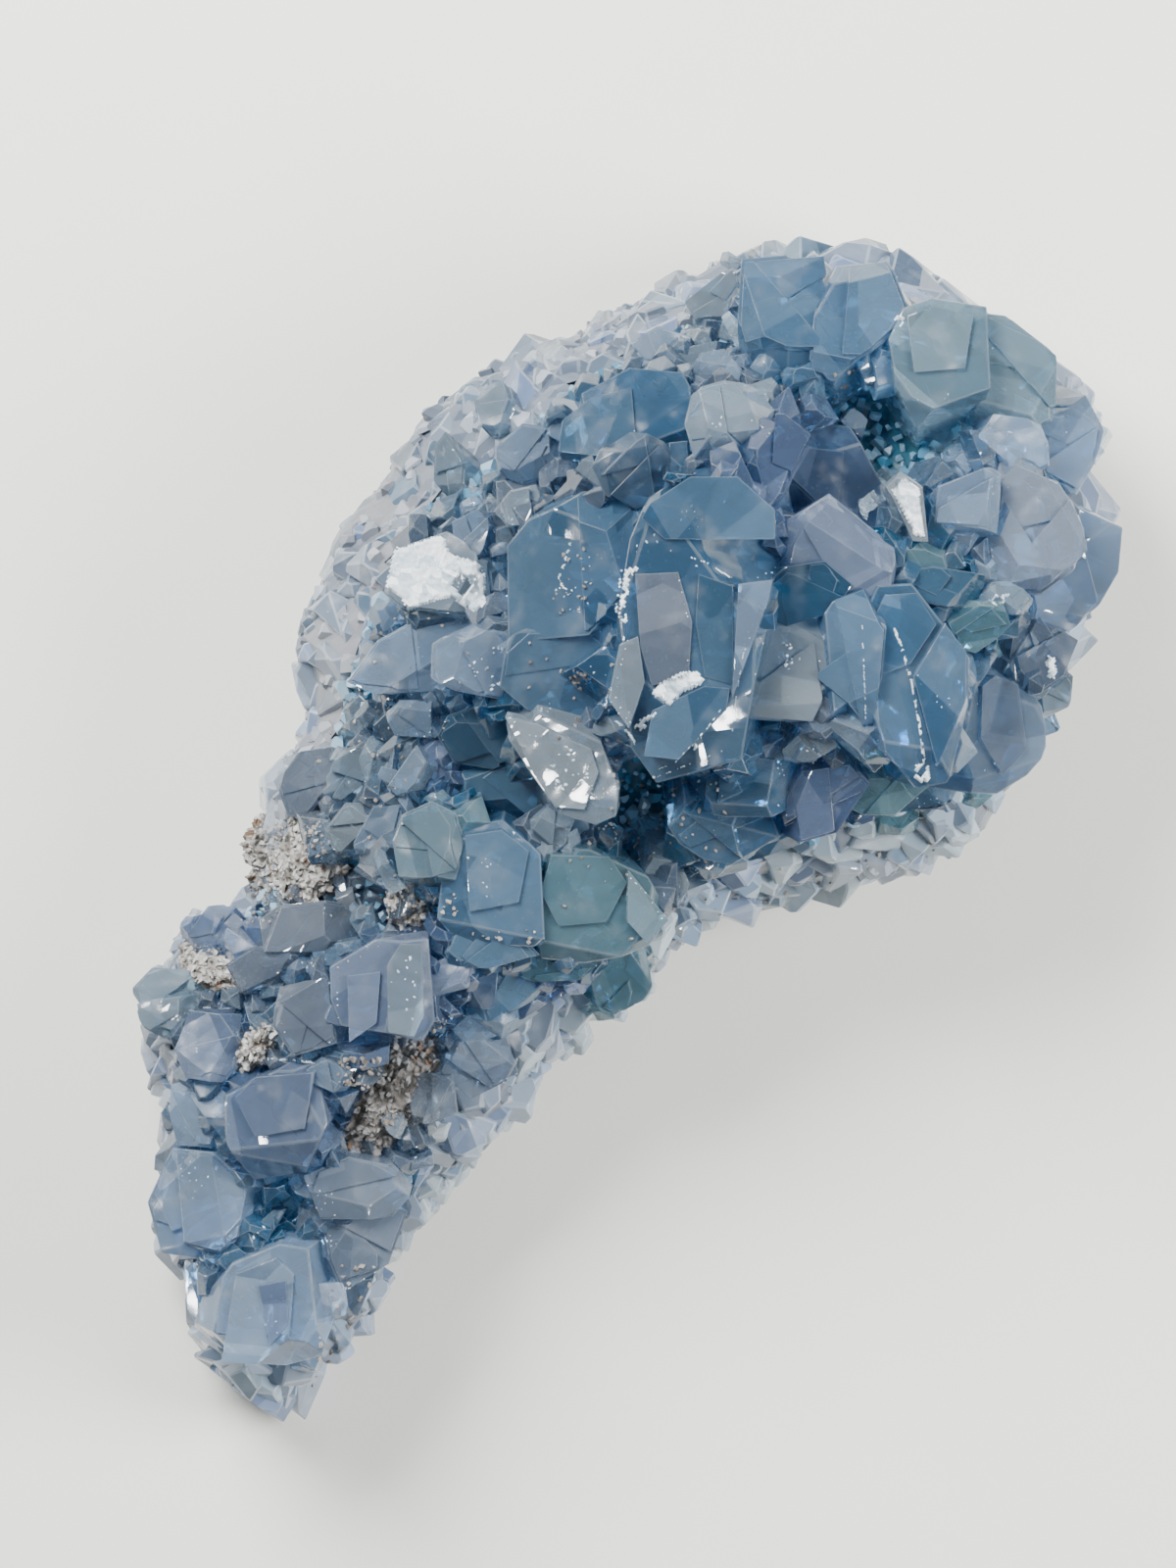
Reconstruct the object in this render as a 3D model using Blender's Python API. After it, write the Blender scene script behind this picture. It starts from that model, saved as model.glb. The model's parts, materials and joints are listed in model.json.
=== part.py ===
"""Celestite cluster: a pale granular rind, the blue crystals that line it, and remains of host rock.

Plan places are read from the photograph, which looks straight down on the specimen, as pixel
coordinates in its 1200 by 1600 frame. Heights and thicknesses are in millimetres. The specimen lies
along X, with its broad head at +X, its tail at -X, and +Z up from the flat spot that it rests on.
"""
import math
import random

import bmesh
import bpy
from mathutils import Matrix, Vector, noise

# Driving dimensions, millimetres
SPECIMEN_LENGTH = 108.0
RIM_INSET = 1.3
LINING_THICKNESS = 8.0
LINING_SHARE = 0.48
LINING_RAISE = 0.6
FITTING_GAP = 0.3

# How the photograph lies on the plan
PHOTO_LENGTH = 1354.0
PHOTO_MIDDLE = (569.71, 830.81)
LONG_AXIS_DEGREES = 53.6
MM_PER_PIXEL = SPECIMEN_LENGTH / PHOTO_LENGTH

# Outline of the whole specimen in the photograph, clockwise from the top
OUTLINE = [
    (735, 254), (800, 256), (870, 262), (908, 270), (918, 310), (985, 325), (1030, 330), (1060, 350),
    (1080, 375), (1082, 412), (1120, 415), (1130, 450), (1100, 500), (1104, 528), (1145, 548),
    (1143, 590), (1105, 650), (1098, 690), (1095, 720), (1065, 740), (1063, 790), (1035, 820),
    (1020, 860), (985, 870), (905, 893), (820, 915), (740, 945), (700, 970), (667, 1010), (640, 1038),
    (605, 1036), (575, 1080), (545, 1110), (515, 1158), (460, 1225), (415, 1280), (385, 1350),
    (340, 1410), (320, 1435), (285, 1452), (250, 1445), (230, 1412), (200, 1395), (192, 1350),
    (185, 1310), (160, 1275), (145, 1235), (150, 1160), (146, 1090), (130, 1035), (127, 1000),
    (165, 972), (190, 935), (208, 922), (235, 930), (255, 895), (262, 840), (262, 800), (278, 762),
    (300, 720), (308, 680), (300, 640), (312, 590), (340, 540), (400, 452), (440, 410), (470, 380),
    (520, 348), (580, 330), (620, 305), (680, 275),
]

# Outline of the ground that the blue crystals grow from, inside the granular rind
CRYSTAL_FIELD = [
    (760, 300), (900, 300), (1040, 350), (1065, 420), (1085, 500), (1095, 590), (1070, 690),
    (1040, 780), (985, 815), (880, 838), (800, 868), (700, 900), (660, 945), (600, 1000), (520, 1040),
    (455, 1085), (440, 1160), (415, 1230), (350, 1320), (300, 1390), (230, 1385), (205, 1330),
    (190, 1260), (175, 1180), (180, 1080), (160, 1020), (215, 960), (300, 890), (340, 790),
    (350, 700), (390, 610), (430, 520), (520, 460), (600, 390), (680, 340),
]

# Heights along the specimen: place from tail tip to head end as a share of the length, then the
# underside's middle, the widest line on the left and right sides, and the top of the shell
PROFILE = [
    (0.00, 5.0, 6.0, 6.0, 8.5),
    (0.10, 3.6, 6.5, 7.0, 13.0),
    (0.22, 2.8, 6.5, 7.5, 16.0),
    (0.36, 2.0, 6.0, 8.0, 17.5),
    (0.48, 0.4, 5.5, 8.5, 19.5),
    (0.60, -2.6, 5.0, 9.0, 23.0),
    (0.74, -3.4, 5.5, 9.5, 25.5),
    (0.86, -1.0, 7.5, 11.0, 24.0),
    (0.95, 3.5, 10.0, 12.0, 19.5),
    (1.00, 7.5, 11.5, 12.5, 15.0),
]

# Pockets where the ground between the crystals drops: middle in the photograph, reach, depth
POCKETS = [
    ((905, 445), 62, 7.0),
    ((668, 832), 55, 6.0),
    ((288, 1245), 42, 5.0),
    ((500, 790), 50, 2.5),
    ((778, 748), 26, 3.0),
]

# Shape of the dome and its skin, millimetres where it is a size
DOME_POWER = 1.9
DOME_EDGE = 0.995
SPREAD = 0.75
STATION_COUNT = 30
RING_POINTS = 19
LINING_STATIONS = 13
LINING_STEPS = 4
ROOT_DEPTH = 0.8
DEEPEST_ROOT = 3.2
SHELL_LUMP = 0.6
SHELL_SWELL = 2.2
SHELL_SWELL_SIZE = 9.0

# Repeats: counts, spacings (pixels for the fillers, millimetres for the grains) and sizes
ATTEMPTS = 9000
FILLER_COUNT = 8
FILLER_SPACING = 44.0
FILLER_LENGTH = (17.0, 30.0)
FILLER_WIDTH_SHARE = (0.5, 0.8)
FILLER_RISE = (2.5, 4.5)
FILLER_SHAPE = ((1, 0.4), (0.4, 1), (-0.5, 1), (-1, 0.3), (-0.6, -1), (0.6, -1))
GRAIN_COUNT = 40
GRAIN_SPACING = 3.6
GRAIN_LOWEST = 2.2
COARSE_GRAIN = (1.3, 2.2)
FINE_GRAIN = (1.0, 1.7)

# Crystals that the photograph shows one by one. Each is a prism that fills its outline as seen from
# above and stands "rise" millimetres over the ground. "face" is its main end face, as the direction
# that it looks (degrees, 0 right, 90 up in the photograph) and its slope. "caps" are its other end
# faces: direction, slope, and how far from the middle they start (pixels).
CRYSTALS = {
    "great_prism": dict(
        outline=[(618, 722), (645, 560), (662, 521), (700, 496), (745, 495), (785, 530), (783, 592),
                 (746, 766), (664, 790)],
        rise=10.4, face=(245, 7),
        caps=[(78, 27, 66), (352, 42, 58), (172, 38, 60), (232, 30, 92), (290, 24, 108)]),
    "twin_prism": dict(
        outline=[(878, 690), (880, 640), (896, 608), (930, 606), (966, 626), (982, 665), (982, 720),
                 (962, 792), (934, 798), (900, 762)],
        rise=9.5, face=(75, 5),
        caps=[(178, 42, 40), (352, 30, 36), (262, 25, 66)]),
    "pale_flake": dict(
        outline=[(507, 735), (512, 715), (600, 740), (612, 755), (628, 800), (625, 828), (605, 838),
                 (570, 830), (545, 795)],
        rise=7.1, face=(215, 17), caps=[(72, 48, 34), (10, 40, 42)]),
    "green_great": dict(
        outline=[(536, 925), (545, 888), (562, 868), (622, 870), (650, 885), (684, 940), (662, 966),
                 (600, 982), (545, 976)],
        rise=7.1, face=(285, 5), caps=[(262, 40, 42), (62, 30, 52), (322, 34, 56)]),
    "blue_block": dict(
        outline=[(455, 890), (472, 848), (512, 842), (548, 870), (552, 962), (470, 962), (450, 935)],
        rise=6.3, face=(240, 7), caps=[(95, 30, 42), (255, 34, 40)]),
    "lilac_clear_block": dict(
        outline=[(342, 988), (385, 962), (434, 956), (440, 1040), (428, 1062), (345, 1084)],
        rise=7.5, face=(165, 6), caps=[(350, 26, 6), (262, 30, 40)]),
    "tail_great": dict(
        outline=[(238, 1296), (282, 1278), (336, 1285), (344, 1320), (322, 1386), (285, 1403),
                 (216, 1400), (192, 1382), (205, 1340)],
        rise=7.1, face=(105, 7), caps=[(262, 34, 34), (320, 30, 44), (175, 30, 46)]),
    "tail_blue": dict(
        outline=[(228, 1125), (262, 1092), (330, 1085), (334, 1140), (308, 1195), (255, 1206),
                 (235, 1165)],
        rise=5.8, face=(160, 8), caps=[(262, 26, 22), (40, 28, 40)]),
    "ridge_block": dict(
        outline=[(520, 560), (566, 507), (640, 512), (656, 548), (640, 605), (600, 645), (520, 650)],
        rise=7.5, face=(190, 12), caps=[(85, 36, 38), (20, 30, 34)]),
    "dusty_plane": dict(
        outline=[(560, 636), (622, 630), (624, 690), (604, 736), (540, 722), (514, 700), (522, 655)],
        rise=5.8, face=(235, 16), caps=[(95, 28, 34)]),
    "upper_blue": dict(
        outline=[(562, 470), (565, 432), (590, 405), (640, 378), (690, 385), (706, 415), (700, 470),
                 (640, 482)],
        rise=6.3, face=(112, 13), caps=[(290, 34, 30), (180, 34, 44)]),
    "dark_round": dict(
        outline=[(608, 484), (616, 458), (642, 445), (674, 452), (692, 480), (680, 510), (645, 520),
                 (618, 506)],
        rise=7.5, face=(300, 18), caps=[(350, 42, 16), (120, 40, 22)]),
    "clear_crown": dict(
        outline=[(697, 432), (702, 405), (735, 394), (770, 398), (783, 414), (764, 462), (732, 478),
                 (708, 470)],
        rise=8.7, face=(70, 14), caps=[(182, 46, 18), (285, 44, 16)]),
    "lilac_ridge": dict(
        outline=[(748, 508), (756, 460), (776, 430), (804, 428), (824, 446), (800, 492), (782, 516)],
        rise=7.9, face=(330, 20), caps=[(190, 34, 14)]),
    "lilac_slab": dict(
        outline=[(797, 478), (828, 432), (868, 440), (922, 548), (896, 578), (800, 562)],
        rise=5.0, face=(40, 24), caps=[(232, 32, 20)]),
    "lilac_foot": dict(
        outline=[(786, 590), (790, 545), (846, 512), (906, 562), (906, 602), (852, 627), (800, 618)],
        rise=6.3, face=(245, 12), caps=[(55, 42, 26)]),
    "kite": dict(
        outline=[(904, 503), (919, 488), (935, 502), (942, 554), (928, 553)],
        rise=7.5, face=(225, 22), caps=[]),
    "pocket_lip": dict(
        outline=[(904, 580), (922, 556), (956, 552), (972, 572), (950, 592), (916, 596)],
        rise=5.8, face=(268, 20), caps=[(85, 34, 10)]),
    "top_rim_left": dict(
        outline=[(754, 330), (758, 264), (838, 255), (844, 300), (832, 382), (766, 374)],
        rise=7.1, face=(85, 15), caps=[(272, 40, 40), (178, 36, 30)]),
    "top_rim_right": dict(
        outline=[(826, 380), (838, 266), (903, 262), (924, 325), (896, 354), (852, 386)],
        rise=6.7, face=(70, 14), caps=[(262, 36, 42), (345, 38, 34)]),
    "green_rim_left": dict(
        outline=[(908, 352), (922, 322), (950, 312), (1002, 320), (1004, 430), (978, 476), (948, 452),
                 (914, 395)],
        rise=7.5, face=(75, 12), caps=[(208, 44, 34), (268, 38, 58)]),
    "green_rim_right": dict(
        outline=[(984, 322), (1035, 324), (1080, 360), (1081, 416), (1050, 434), (985, 424)],
        rise=7.1, face=(50, 14), caps=[(262, 36, 38), (350, 36, 34)]),
    "pale_lilac_inner": dict(
        outline=[(1000, 480), (1002, 446), (1018, 424), (1062, 434), (1062, 478), (1036, 490)],
        rise=7.5, face=(120, 12), caps=[(258, 36, 20)]),
    "pale_lilac_outer": dict(
        outline=[(1056, 478), (1058, 426), (1120, 413), (1130, 445), (1118, 474), (1094, 502)],
        rise=6.7, face=(25, 14), caps=[(345, 40, 22)]),
    "pale_cube": dict(
        outline=[(953, 536), (957, 500), (966, 483), (1000, 478), (1017, 486), (1015, 542)],
        rise=7.9, face=(165, 9), caps=[(330, 30, 22)]),
    "right_blue_upper": dict(
        outline=[(1002, 562), (1013, 500), (1036, 478), (1078, 497), (1100, 522), (1100, 565),
                 (1062, 604), (1018, 602)],
        rise=7.9, face=(150, 8), caps=[(40, 36, 34), (250, 30, 40)]),
    "right_blue_outer": dict(
        outline=[(1040, 592), (1082, 520), (1146, 547), (1144, 590), (1118, 628), (1100, 652),
                 (1052, 632)],
        rise=7.5, face=(345, 13), caps=[(110, 26, 26), (280, 34, 36)]),
    "sparkle_tip": dict(
        outline=[(997, 614), (1010, 598), (1036, 596), (1052, 616), (1044, 630), (1010, 628)],
        rise=8.3, face=(60, 26), caps=[(225, 34, 4)]),
    "green_clear": dict(
        outline=[(958, 628), (974, 614), (1016, 618), (1026, 640), (1000, 668), (974, 662)],
        rise=7.5, face=(300, 14), caps=[(120, 38, 14)]),
    "dark_lilac": dict(
        outline=[(1018, 668), (1024, 640), (1050, 628), (1110, 656), (1098, 692), (1062, 710),
                 (1034, 692)],
        rise=5.8, face=(330, 24), caps=[(150, 24, 18)]),
    "right_oval": dict(
        outline=[(978, 738), (986, 700), (1012, 682), (1038, 690), (1064, 716), (1068, 762),
                 (1058, 790), (1034, 808), (1000, 806), (984, 772)],
        rise=7.5, face=(330, 8), caps=[(168, 34, 36), (290, 32, 46)]),
    "rim_clear": dict(
        outline=[(1060, 702), (1080, 690), (1098, 694), (1095, 722), (1068, 740)],
        rise=5.4, face=(0, 16), caps=[(110, 34, 8)]),
    "twin_left": dict(
        outline=[(832, 702), (836, 640), (850, 616), (880, 606), (896, 640), (888, 742), (846, 748)],
        rise=7.9, face=(185, 15), caps=[(95, 30, 46), (270, 30, 48)]),
    "twin_right": dict(
        outline=[(950, 790), (962, 652), (986, 654), (1003, 688), (986, 738), (976, 786)],
        rise=7.9, face=(350, 20), caps=[(80, 34, 48)]),
    "middle_lilac": dict(
        outline=[(750, 732), (752, 690), (766, 640), (800, 622), (840, 640), (840, 702), (826, 738)],
        rise=6.3, face=(115, 8), caps=[(268, 30, 40)]),
    "middle_dark": dict(
        outline=[(776, 632), (786, 585), (836, 578), (862, 600), (844, 628), (800, 642)],
        rise=5.8, face=(250, 14), caps=[]),
    "twin_shade": dict(
        outline=[(900, 606), (904, 588), (950, 582), (1002, 590), (1002, 614), (962, 622)],
        rise=6.7, face=(85, 18), caps=[]),
    "green_foot": dict(
        outline=[(850, 802), (880, 776), (952, 792), (976, 764), (1002, 802), (998, 832), (940, 840),
                 (880, 838), (852, 822)],
        rise=6.3, face=(270, 22), caps=[(95, 20, 14)]),
    "lilac_wedge": dict(
        outline=[(796, 832), (818, 782), (864, 778), (882, 802), (852, 852), (804, 864)],
        rise=7.5, face=(300, 16), caps=[(170, 40, 22)]),
    "blue_roof": dict(
        outline=[(698, 824), (716, 798), (760, 778), (820, 783), (800, 832), (740, 834)],
        rise=7.9, face=(100, 14), caps=[(262, 34, 12)]),
    "blue_lens": dict(
        outline=[(686, 848), (702, 826), (746, 810), (798, 832), (804, 862), (770, 884), (720, 880),
                 (696, 864)],
        rise=7.5, face=(235, 12), caps=[(85, 24, 10), (285, 34, 30)]),
    "white_chip": dict(
        outline=[(798, 768), (815, 748), (842, 742), (852, 760), (826, 780), (800, 778)],
        rise=7.1, face=(235, 16), caps=[]),
    "small_chip": dict(
        outline=[(752, 774), (768, 761), (790, 768), (786, 781), (762, 784)],
        rise=6.7, face=(270, 14), caps=[]),
    "clear_chip": dict(
        outline=[(543, 838), (560, 824), (586, 836), (576, 856), (560, 864), (545, 852)],
        rise=5.8, face=(250, 20), caps=[(60, 30, 6)]),
    "striated_dark": dict(
        outline=[(450, 752), (460, 732), (500, 718), (522, 736), (534, 770), (500, 784), (464, 778)],
        rise=4.6, face=(262, 16), caps=[(90, 26, 14)]),
    "dark_teal": dict(
        outline=[(464, 806), (476, 788), (520, 780), (548, 786), (562, 815), (540, 842), (490, 844),
                 (470, 828)],
        rise=4.2, face=(290, 10), caps=[(110, 26, 24)]),
    "pale_round": dict(
        outline=[(404, 858), (411, 834), (440, 821), (464, 832), (473, 862), (462, 896), (438, 906),
                 (411, 892)],
        rise=7.1, face=(105, 8), caps=[(350, 30, 20), (262, 34, 30)]),
    "hex_rim": dict(
        outline=[(600, 988), (612, 968), (662, 964), (668, 1020), (633, 1039), (604, 1024)],
        rise=5.4, face=(292, 12), caps=[(150, 34, 20), (20, 40, 26)]),
    "specked_facet": dict(
        outline=[(656, 872), (690, 874), (701, 900), (694, 928), (672, 926), (660, 905)],
        rise=6.7, face=(240, 20), caps=[]),
    "brown_facet": dict(
        outline=[(634, 882), (664, 859), (696, 862), (718, 880), (722, 902), (700, 910), (655, 900)],
        rise=5.4, face=(90, 10), caps=[(290, 30, 14)]),
    "lower_left_blade": dict(
        outline=[(436, 988), (468, 972), (492, 985), (480, 1006), (438, 1016)],
        rise=5.8, face=(120, 12), caps=[(290, 30, 10)]),
    "lower_blue": dict(
        outline=[(468, 1024), (482, 996), (530, 980), (562, 992), (546, 1022), (502, 1042)],
        rise=5.4, face=(290, 14), caps=[(100, 30, 14)]),
    "lower_right_blade": dict(
        outline=[(545, 1022), (552, 1000), (602, 988), (592, 1006), (566, 1024)],
        rise=5.0, face=(300, 16), caps=[]),
    "lower_step": dict(
        outline=[(458, 972), (466, 950), (522, 948), (548, 974), (500, 988), (462, 984)],
        rise=6.7, face=(275, 10), caps=[]),
    "green_lip": dict(
        outline=[(518, 984), (560, 968), (606, 984), (592, 1002), (552, 1004), (526, 996)],
        rise=6.7, face=(275, 20), caps=[]),
    "shoulder_end": dict(
        outline=[(440, 692), (440, 660), (480, 640), (514, 650), (524, 682), (508, 713), (464, 704)],
        rise=6.7, face=(330, 16), caps=[(170, 26, 12), (262, 36, 24)]),
    "shoulder_lump": dict(
        outline=[(358, 694), (386, 655), (440, 625), (482, 618), (486, 655), (446, 702), (390, 706)],
        rise=5.0, face=(130, 10), caps=[(300, 28, 16)]),
    "flashing_block": dict(
        outline=[(392, 602), (400, 560), (455, 546), (498, 574), (498, 624), (468, 628), (410, 618)],
        rise=6.3, face=(150, 14), caps=[(330, 24, 26)]),
    "striated_small": dict(
        outline=[(504, 522), (520, 504), (546, 499), (559, 520), (546, 540), (520, 539)],
        rise=7.1, face=(150, 12), caps=[(330, 34, 10)]),
    "shoulder_small": dict(
        outline=[(462, 534), (496, 521), (505, 546), (490, 568), (464, 562)],
        rise=5.8, face=(200, 12), caps=[]),
    "upper_left_wedge": dict(
        outline=[(504, 458), (530, 434), (563, 440), (566, 480), (530, 492), (507, 482)],
        rise=5.4, face=(120, 14), caps=[(300, 30, 12)]),
    "white_triangle": dict(
        outline=[(573, 502), (600, 466), (613, 488), (620, 509)],
        rise=7.1, face=(200, 22), caps=[]),
    "left_step": dict(
        outline=[(394, 728), (408, 716), (440, 716), (463, 734), (442, 752), (404, 750)],
        rise=4.6, face=(270, 12), caps=[(80, 26, 8)]),
    "left_round": dict(
        outline=[(384, 792), (395, 768), (426, 760), (442, 785), (433, 804), (404, 812)],
        rise=5.4, face=(150, 12), caps=[(330, 34, 14)]),
    "left_lilac": dict(
        outline=[(428, 770), (442, 750), (464, 762), (470, 792), (446, 802)],
        rise=3.8, face=(350, 12), caps=[]),
    "left_pale": dict(
        outline=[(332, 846), (352, 820), (382, 822), (366, 862), (344, 870)],
        rise=4.6, face=(140, 12), caps=[]),
    "left_blue": dict(
        outline=[(362, 862), (380, 824), (412, 820), (406, 852), (394, 872), (364, 872)],
        rise=5.0, face=(110, 12), caps=[(290, 30, 16)]),
    "flank_grey": dict(
        outline=[(270, 792), (294, 764), (344, 764), (352, 800), (326, 836), (290, 828)],
        rise=3.4, face=(165, 22), caps=[(330, 30, 20)]),
    "flank_ridge": dict(
        outline=[(336, 812), (344, 768), (366, 756), (374, 792), (352, 818)],
        rise=4.2, face=(20, 22), caps=[]),
    "blade": dict(
        outline=[(381, 870), (389, 865), (412, 904), (398, 911)],
        rise=7.1, face=(320, 16), caps=[]),
    "flank_blade_long": dict(
        outline=[(438, 450), (450, 438), (476, 470), (480, 504), (460, 513), (440, 486)],
        rise=3.4, face=(160, 24), caps=[]),
    "flank_blade_high": dict(
        outline=[(478, 402), (504, 379), (523, 410), (516, 442), (490, 432)],
        rise=3.4, face=(150, 24), caps=[]),
    "flank_top": dict(
        outline=[(640, 352), (668, 332), (702, 346), (700, 374), (656, 382)],
        rise=4.2, face=(110, 16), caps=[(290, 30, 10)]),
    "flank_corner": dict(
        outline=[(700, 306), (742, 262), (757, 300), (742, 330), (712, 330)],
        rise=3.8, face=(105, 20), caps=[]),
    "tail_head_wedge": dict(
        outline=[(238, 958), (282, 924), (346, 918), (354, 950), (330, 972), (262, 988)],
        rise=5.0, face=(110, 12), caps=[(290, 26, 12)]),
    "tail_head_lilac": dict(
        outline=[(186, 950), (206, 921), (238, 924), (250, 950), (226, 968), (190, 966)],
        rise=4.2, face=(140, 16), caps=[]),
    "tail_corner_high": dict(
        outline=[(127, 1004), (150, 984), (196, 998), (192, 1018), (140, 1024)],
        rise=3.8, face=(150, 16), caps=[]),
    "tail_corner_low": dict(
        outline=[(130, 1026), (190, 1018), (188, 1052), (152, 1060), (136, 1048)],
        rise=3.4, face=(190, 16), caps=[]),
    "tail_grey": dict(
        outline=[(282, 1046), (284, 1006), (334, 996), (342, 1062), (302, 1074)],
        rise=4.6, face=(60, 10), caps=[]),
    "tail_step": dict(
        outline=[(232, 984), (262, 968), (310, 974), (284, 1004), (244, 1010)],
        rise=4.2, face=(250, 14), caps=[]),
    "tail_left_high": dict(
        outline=[(178, 1070), (192, 1034), (236, 1038), (248, 1076), (226, 1102), (186, 1098)],
        rise=4.6, face=(150, 14), caps=[(330, 26, 16)]),
    "tail_left_mid": dict(
        outline=[(166, 1112), (216, 1098), (228, 1142), (216, 1168), (172, 1168)],
        rise=4.2, face=(170, 14), caps=[]),
    "tail_left_pale": dict(
        outline=[(148, 1228), (168, 1176), (216, 1180), (246, 1215), (242, 1262), (214, 1284),
                 (164, 1276)],
        rise=5.4, face=(165, 12), caps=[(20, 26, 24), (262, 30, 36)]),
    "tail_left_low": dict(
        outline=[(182, 1302), (214, 1282), (224, 1330), (196, 1357), (182, 1342)],
        rise=3.8, face=(185, 16), caps=[]),
    "tail_right_high": dict(
        outline=[(313, 1200), (358, 1184), (402, 1194), (424, 1218), (402, 1244), (332, 1244)],
        rise=5.4, face=(60, 10), caps=[(262, 24, 14)]),
    "tail_right_low": dict(
        outline=[(334, 1242), (382, 1230), (414, 1240), (398, 1292), (352, 1318), (336, 1284)],
        rise=5.4, face=(320, 14), caps=[(150, 28, 20)]),
    "pocket_blade": dict(
        outline=[(230, 1292), (242, 1268), (276, 1238), (292, 1234), (262, 1282)],
        rise=3.4, face=(130, 18), caps=[]),
    "tail_edge_clear": dict(
        outline=[(416, 1112), (430, 1098), (462, 1098), (468, 1138), (426, 1148)],
        rise=4.2, face=(130, 12), caps=[(320, 30, 12)]),
    "tail_edge_blue": dict(
        outline=[(452, 1092), (462, 1060), (522, 1058), (532, 1098), (484, 1122)],
        rise=4.2, face=(300, 14), caps=[]),
}

# Remains of host rock: middle and half sizes in the photograph, turn in degrees, bulge over the ground
MARL_PATCHES = {
    "marl_shoulder": dict(middle=(298, 874), half=(46, 50), turn=70, bulge=3.0),
    "marl_tail_middle": dict(middle=(396, 1124), half=(58, 34), turn=60, bulge=3.2),
    "marl_tail_left": dict(middle=(262, 1068), half=(30, 15), turn=50, bulge=4.2),
    "marl_tail_corner": dict(middle=(214, 990), half=(36, 18), turn=-28, bulge=4.0),
    "marl_under_pale": dict(middle=(418, 926), half=(28, 20), turn=-60, bulge=5.0),
}
MARL_THICKNESS = 2.2
MARL_ROUGHNESS = 0.35

# Material colours, roughness
RIND_LOOK = ((0.72, 0.76, 0.78, 1.0), 0.55)
CRYSTAL_LOOK = ((0.36, 0.50, 0.64, 1.0), 0.22)
MARL_LOOK = ((0.46, 0.41, 0.36, 1.0), 0.9)

METRES = 0.001
BLOCK_REACH = 80.0
EPSILON = 1e-6


# Plan and ground

def plan(px, py):
    """The place on the specimen's plan of a pixel of the photograph, in millimetres."""
    turn = math.radians(LONG_AXIS_DEGREES)
    right = (px - PHOTO_MIDDLE[0]) * MM_PER_PIXEL
    up = (PHOTO_MIDDLE[1] - py) * MM_PER_PIXEL
    return (right * math.cos(turn) + up * math.sin(turn),
            -right * math.sin(turn) + up * math.cos(turn))


def heading(degrees):
    """The direction on the plan of a direction in the photograph."""
    turn = math.radians(degrees - LONG_AXIS_DEGREES)
    return Vector((math.cos(turn), math.sin(turn), 0.0))


def profile_at(x, low_x, high_x):
    """Underside, left and right widest lines and top at a place along the specimen."""
    share = min(max((x - low_x) / (high_x - low_x), 0.0), 1.0)
    for before, after in zip(PROFILE, PROFILE[1:]):
        if share <= after[0]:
            break
    part = (share - before[0]) / (after[0] - before[0])
    part = part * part * (3.0 - 2.0 * part)
    return [a + (b - a) * part for a, b in zip(before[1:], after[1:])]


def crossings(outline, x):
    """The lowest and highest Y where a line across the specimen meets an outline."""
    found = []
    for (x0, y0), (x1, y1) in zip(outline, outline[1:] + outline[:1]):
        if (x0 - x) * (x1 - x) < 0.0:
            found.append(y0 + (y1 - y0) * (x - x0) / (x1 - x0))
    return min(found), max(found)


class Ground:
    """The shell's shape, from which every crystal and grain takes its height."""

    def __init__(self):
        self.outline = [plan(px, py) for px, py in OUTLINE]
        self.field = [plan(px, py) for px, py in CRYSTAL_FIELD]
        self.low_x = min(x for x, y in self.outline) + RIM_INSET
        self.high_x = max(x for x, y in self.outline) - RIM_INSET

    def section(self, x):
        low, high = crossings(self.outline, x)
        middle = (low + high) / 2.0
        half = max((high - low) / 2.0 - RIM_INSET, 1.0)
        return middle, half

    def pocket(self, x, y):
        depth = 0.0
        for place, reach, drop in POCKETS:
            px, py = plan(*place)
            away = math.hypot(x - px, y - py) / (reach * MM_PER_PIXEL)
            depth = max(depth, drop * math.exp(-away * away))
        return depth

    def top(self, x, y):
        """Height of the shell's upper side before the pockets are sunk in it."""
        x = min(max(x, self.low_x + 0.5), self.high_x - 0.5)
        middle, half = self.section(x)
        under, left, right, crest = profile_at(x, self.low_x, self.high_x)
        across = min(max((y - middle) / half, -DOME_EDGE), DOME_EDGE)
        rim = right + (left - right) * (across + 1.0) / 2.0
        return rim + (crest - rim) * (1.0 - abs(across) ** DOME_POWER) ** (1.0 / DOME_POWER)

    def bed(self, x, y):
        """Height of the ground that the crystals grow from."""
        return self.top(x, y) - self.pocket(x, y)

    def upright(self, x, y):
        """The way a crystal grows out of the ground: between straight up and square to the shell."""
        step = 1.0
        slope_x = (self.top(x + step, y) - self.top(x - step, y)) / (2.0 * step)
        slope_y = (self.top(x, y + step) - self.top(x, y - step)) / (2.0 * step)
        return Vector((-slope_x * SPREAD, -slope_y * SPREAD, 1.0)).normalized()

    def around(self, x, turn):
        """A point of the shell's skin, from its place along the specimen and around the section."""
        middle, half = self.section(x)
        under, left, right, crest = profile_at(x, self.low_x, self.high_x)
        across, lift = math.cos(turn), math.sin(turn)
        rim = right + (left - right) * (across + 1.0) / 2.0
        reach = (crest - rim) if lift >= 0.0 else (rim - under)
        power = 2.0 / DOME_POWER
        y = middle + half * math.copysign(abs(across) ** power, across)
        z = rim + reach * math.copysign(abs(lift) ** power, lift)
        return Vector((x, y, z))

    def normal(self, x, turn):
        step = 0.05
        along = self.around(min(x + step, self.high_x - 0.5), turn) - self.around(x - step, turn)
        round_ = self.around(x, turn + step) - self.around(x, turn - step)
        return round_.cross(along).normalized() * -1.0


# Meshes

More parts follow.
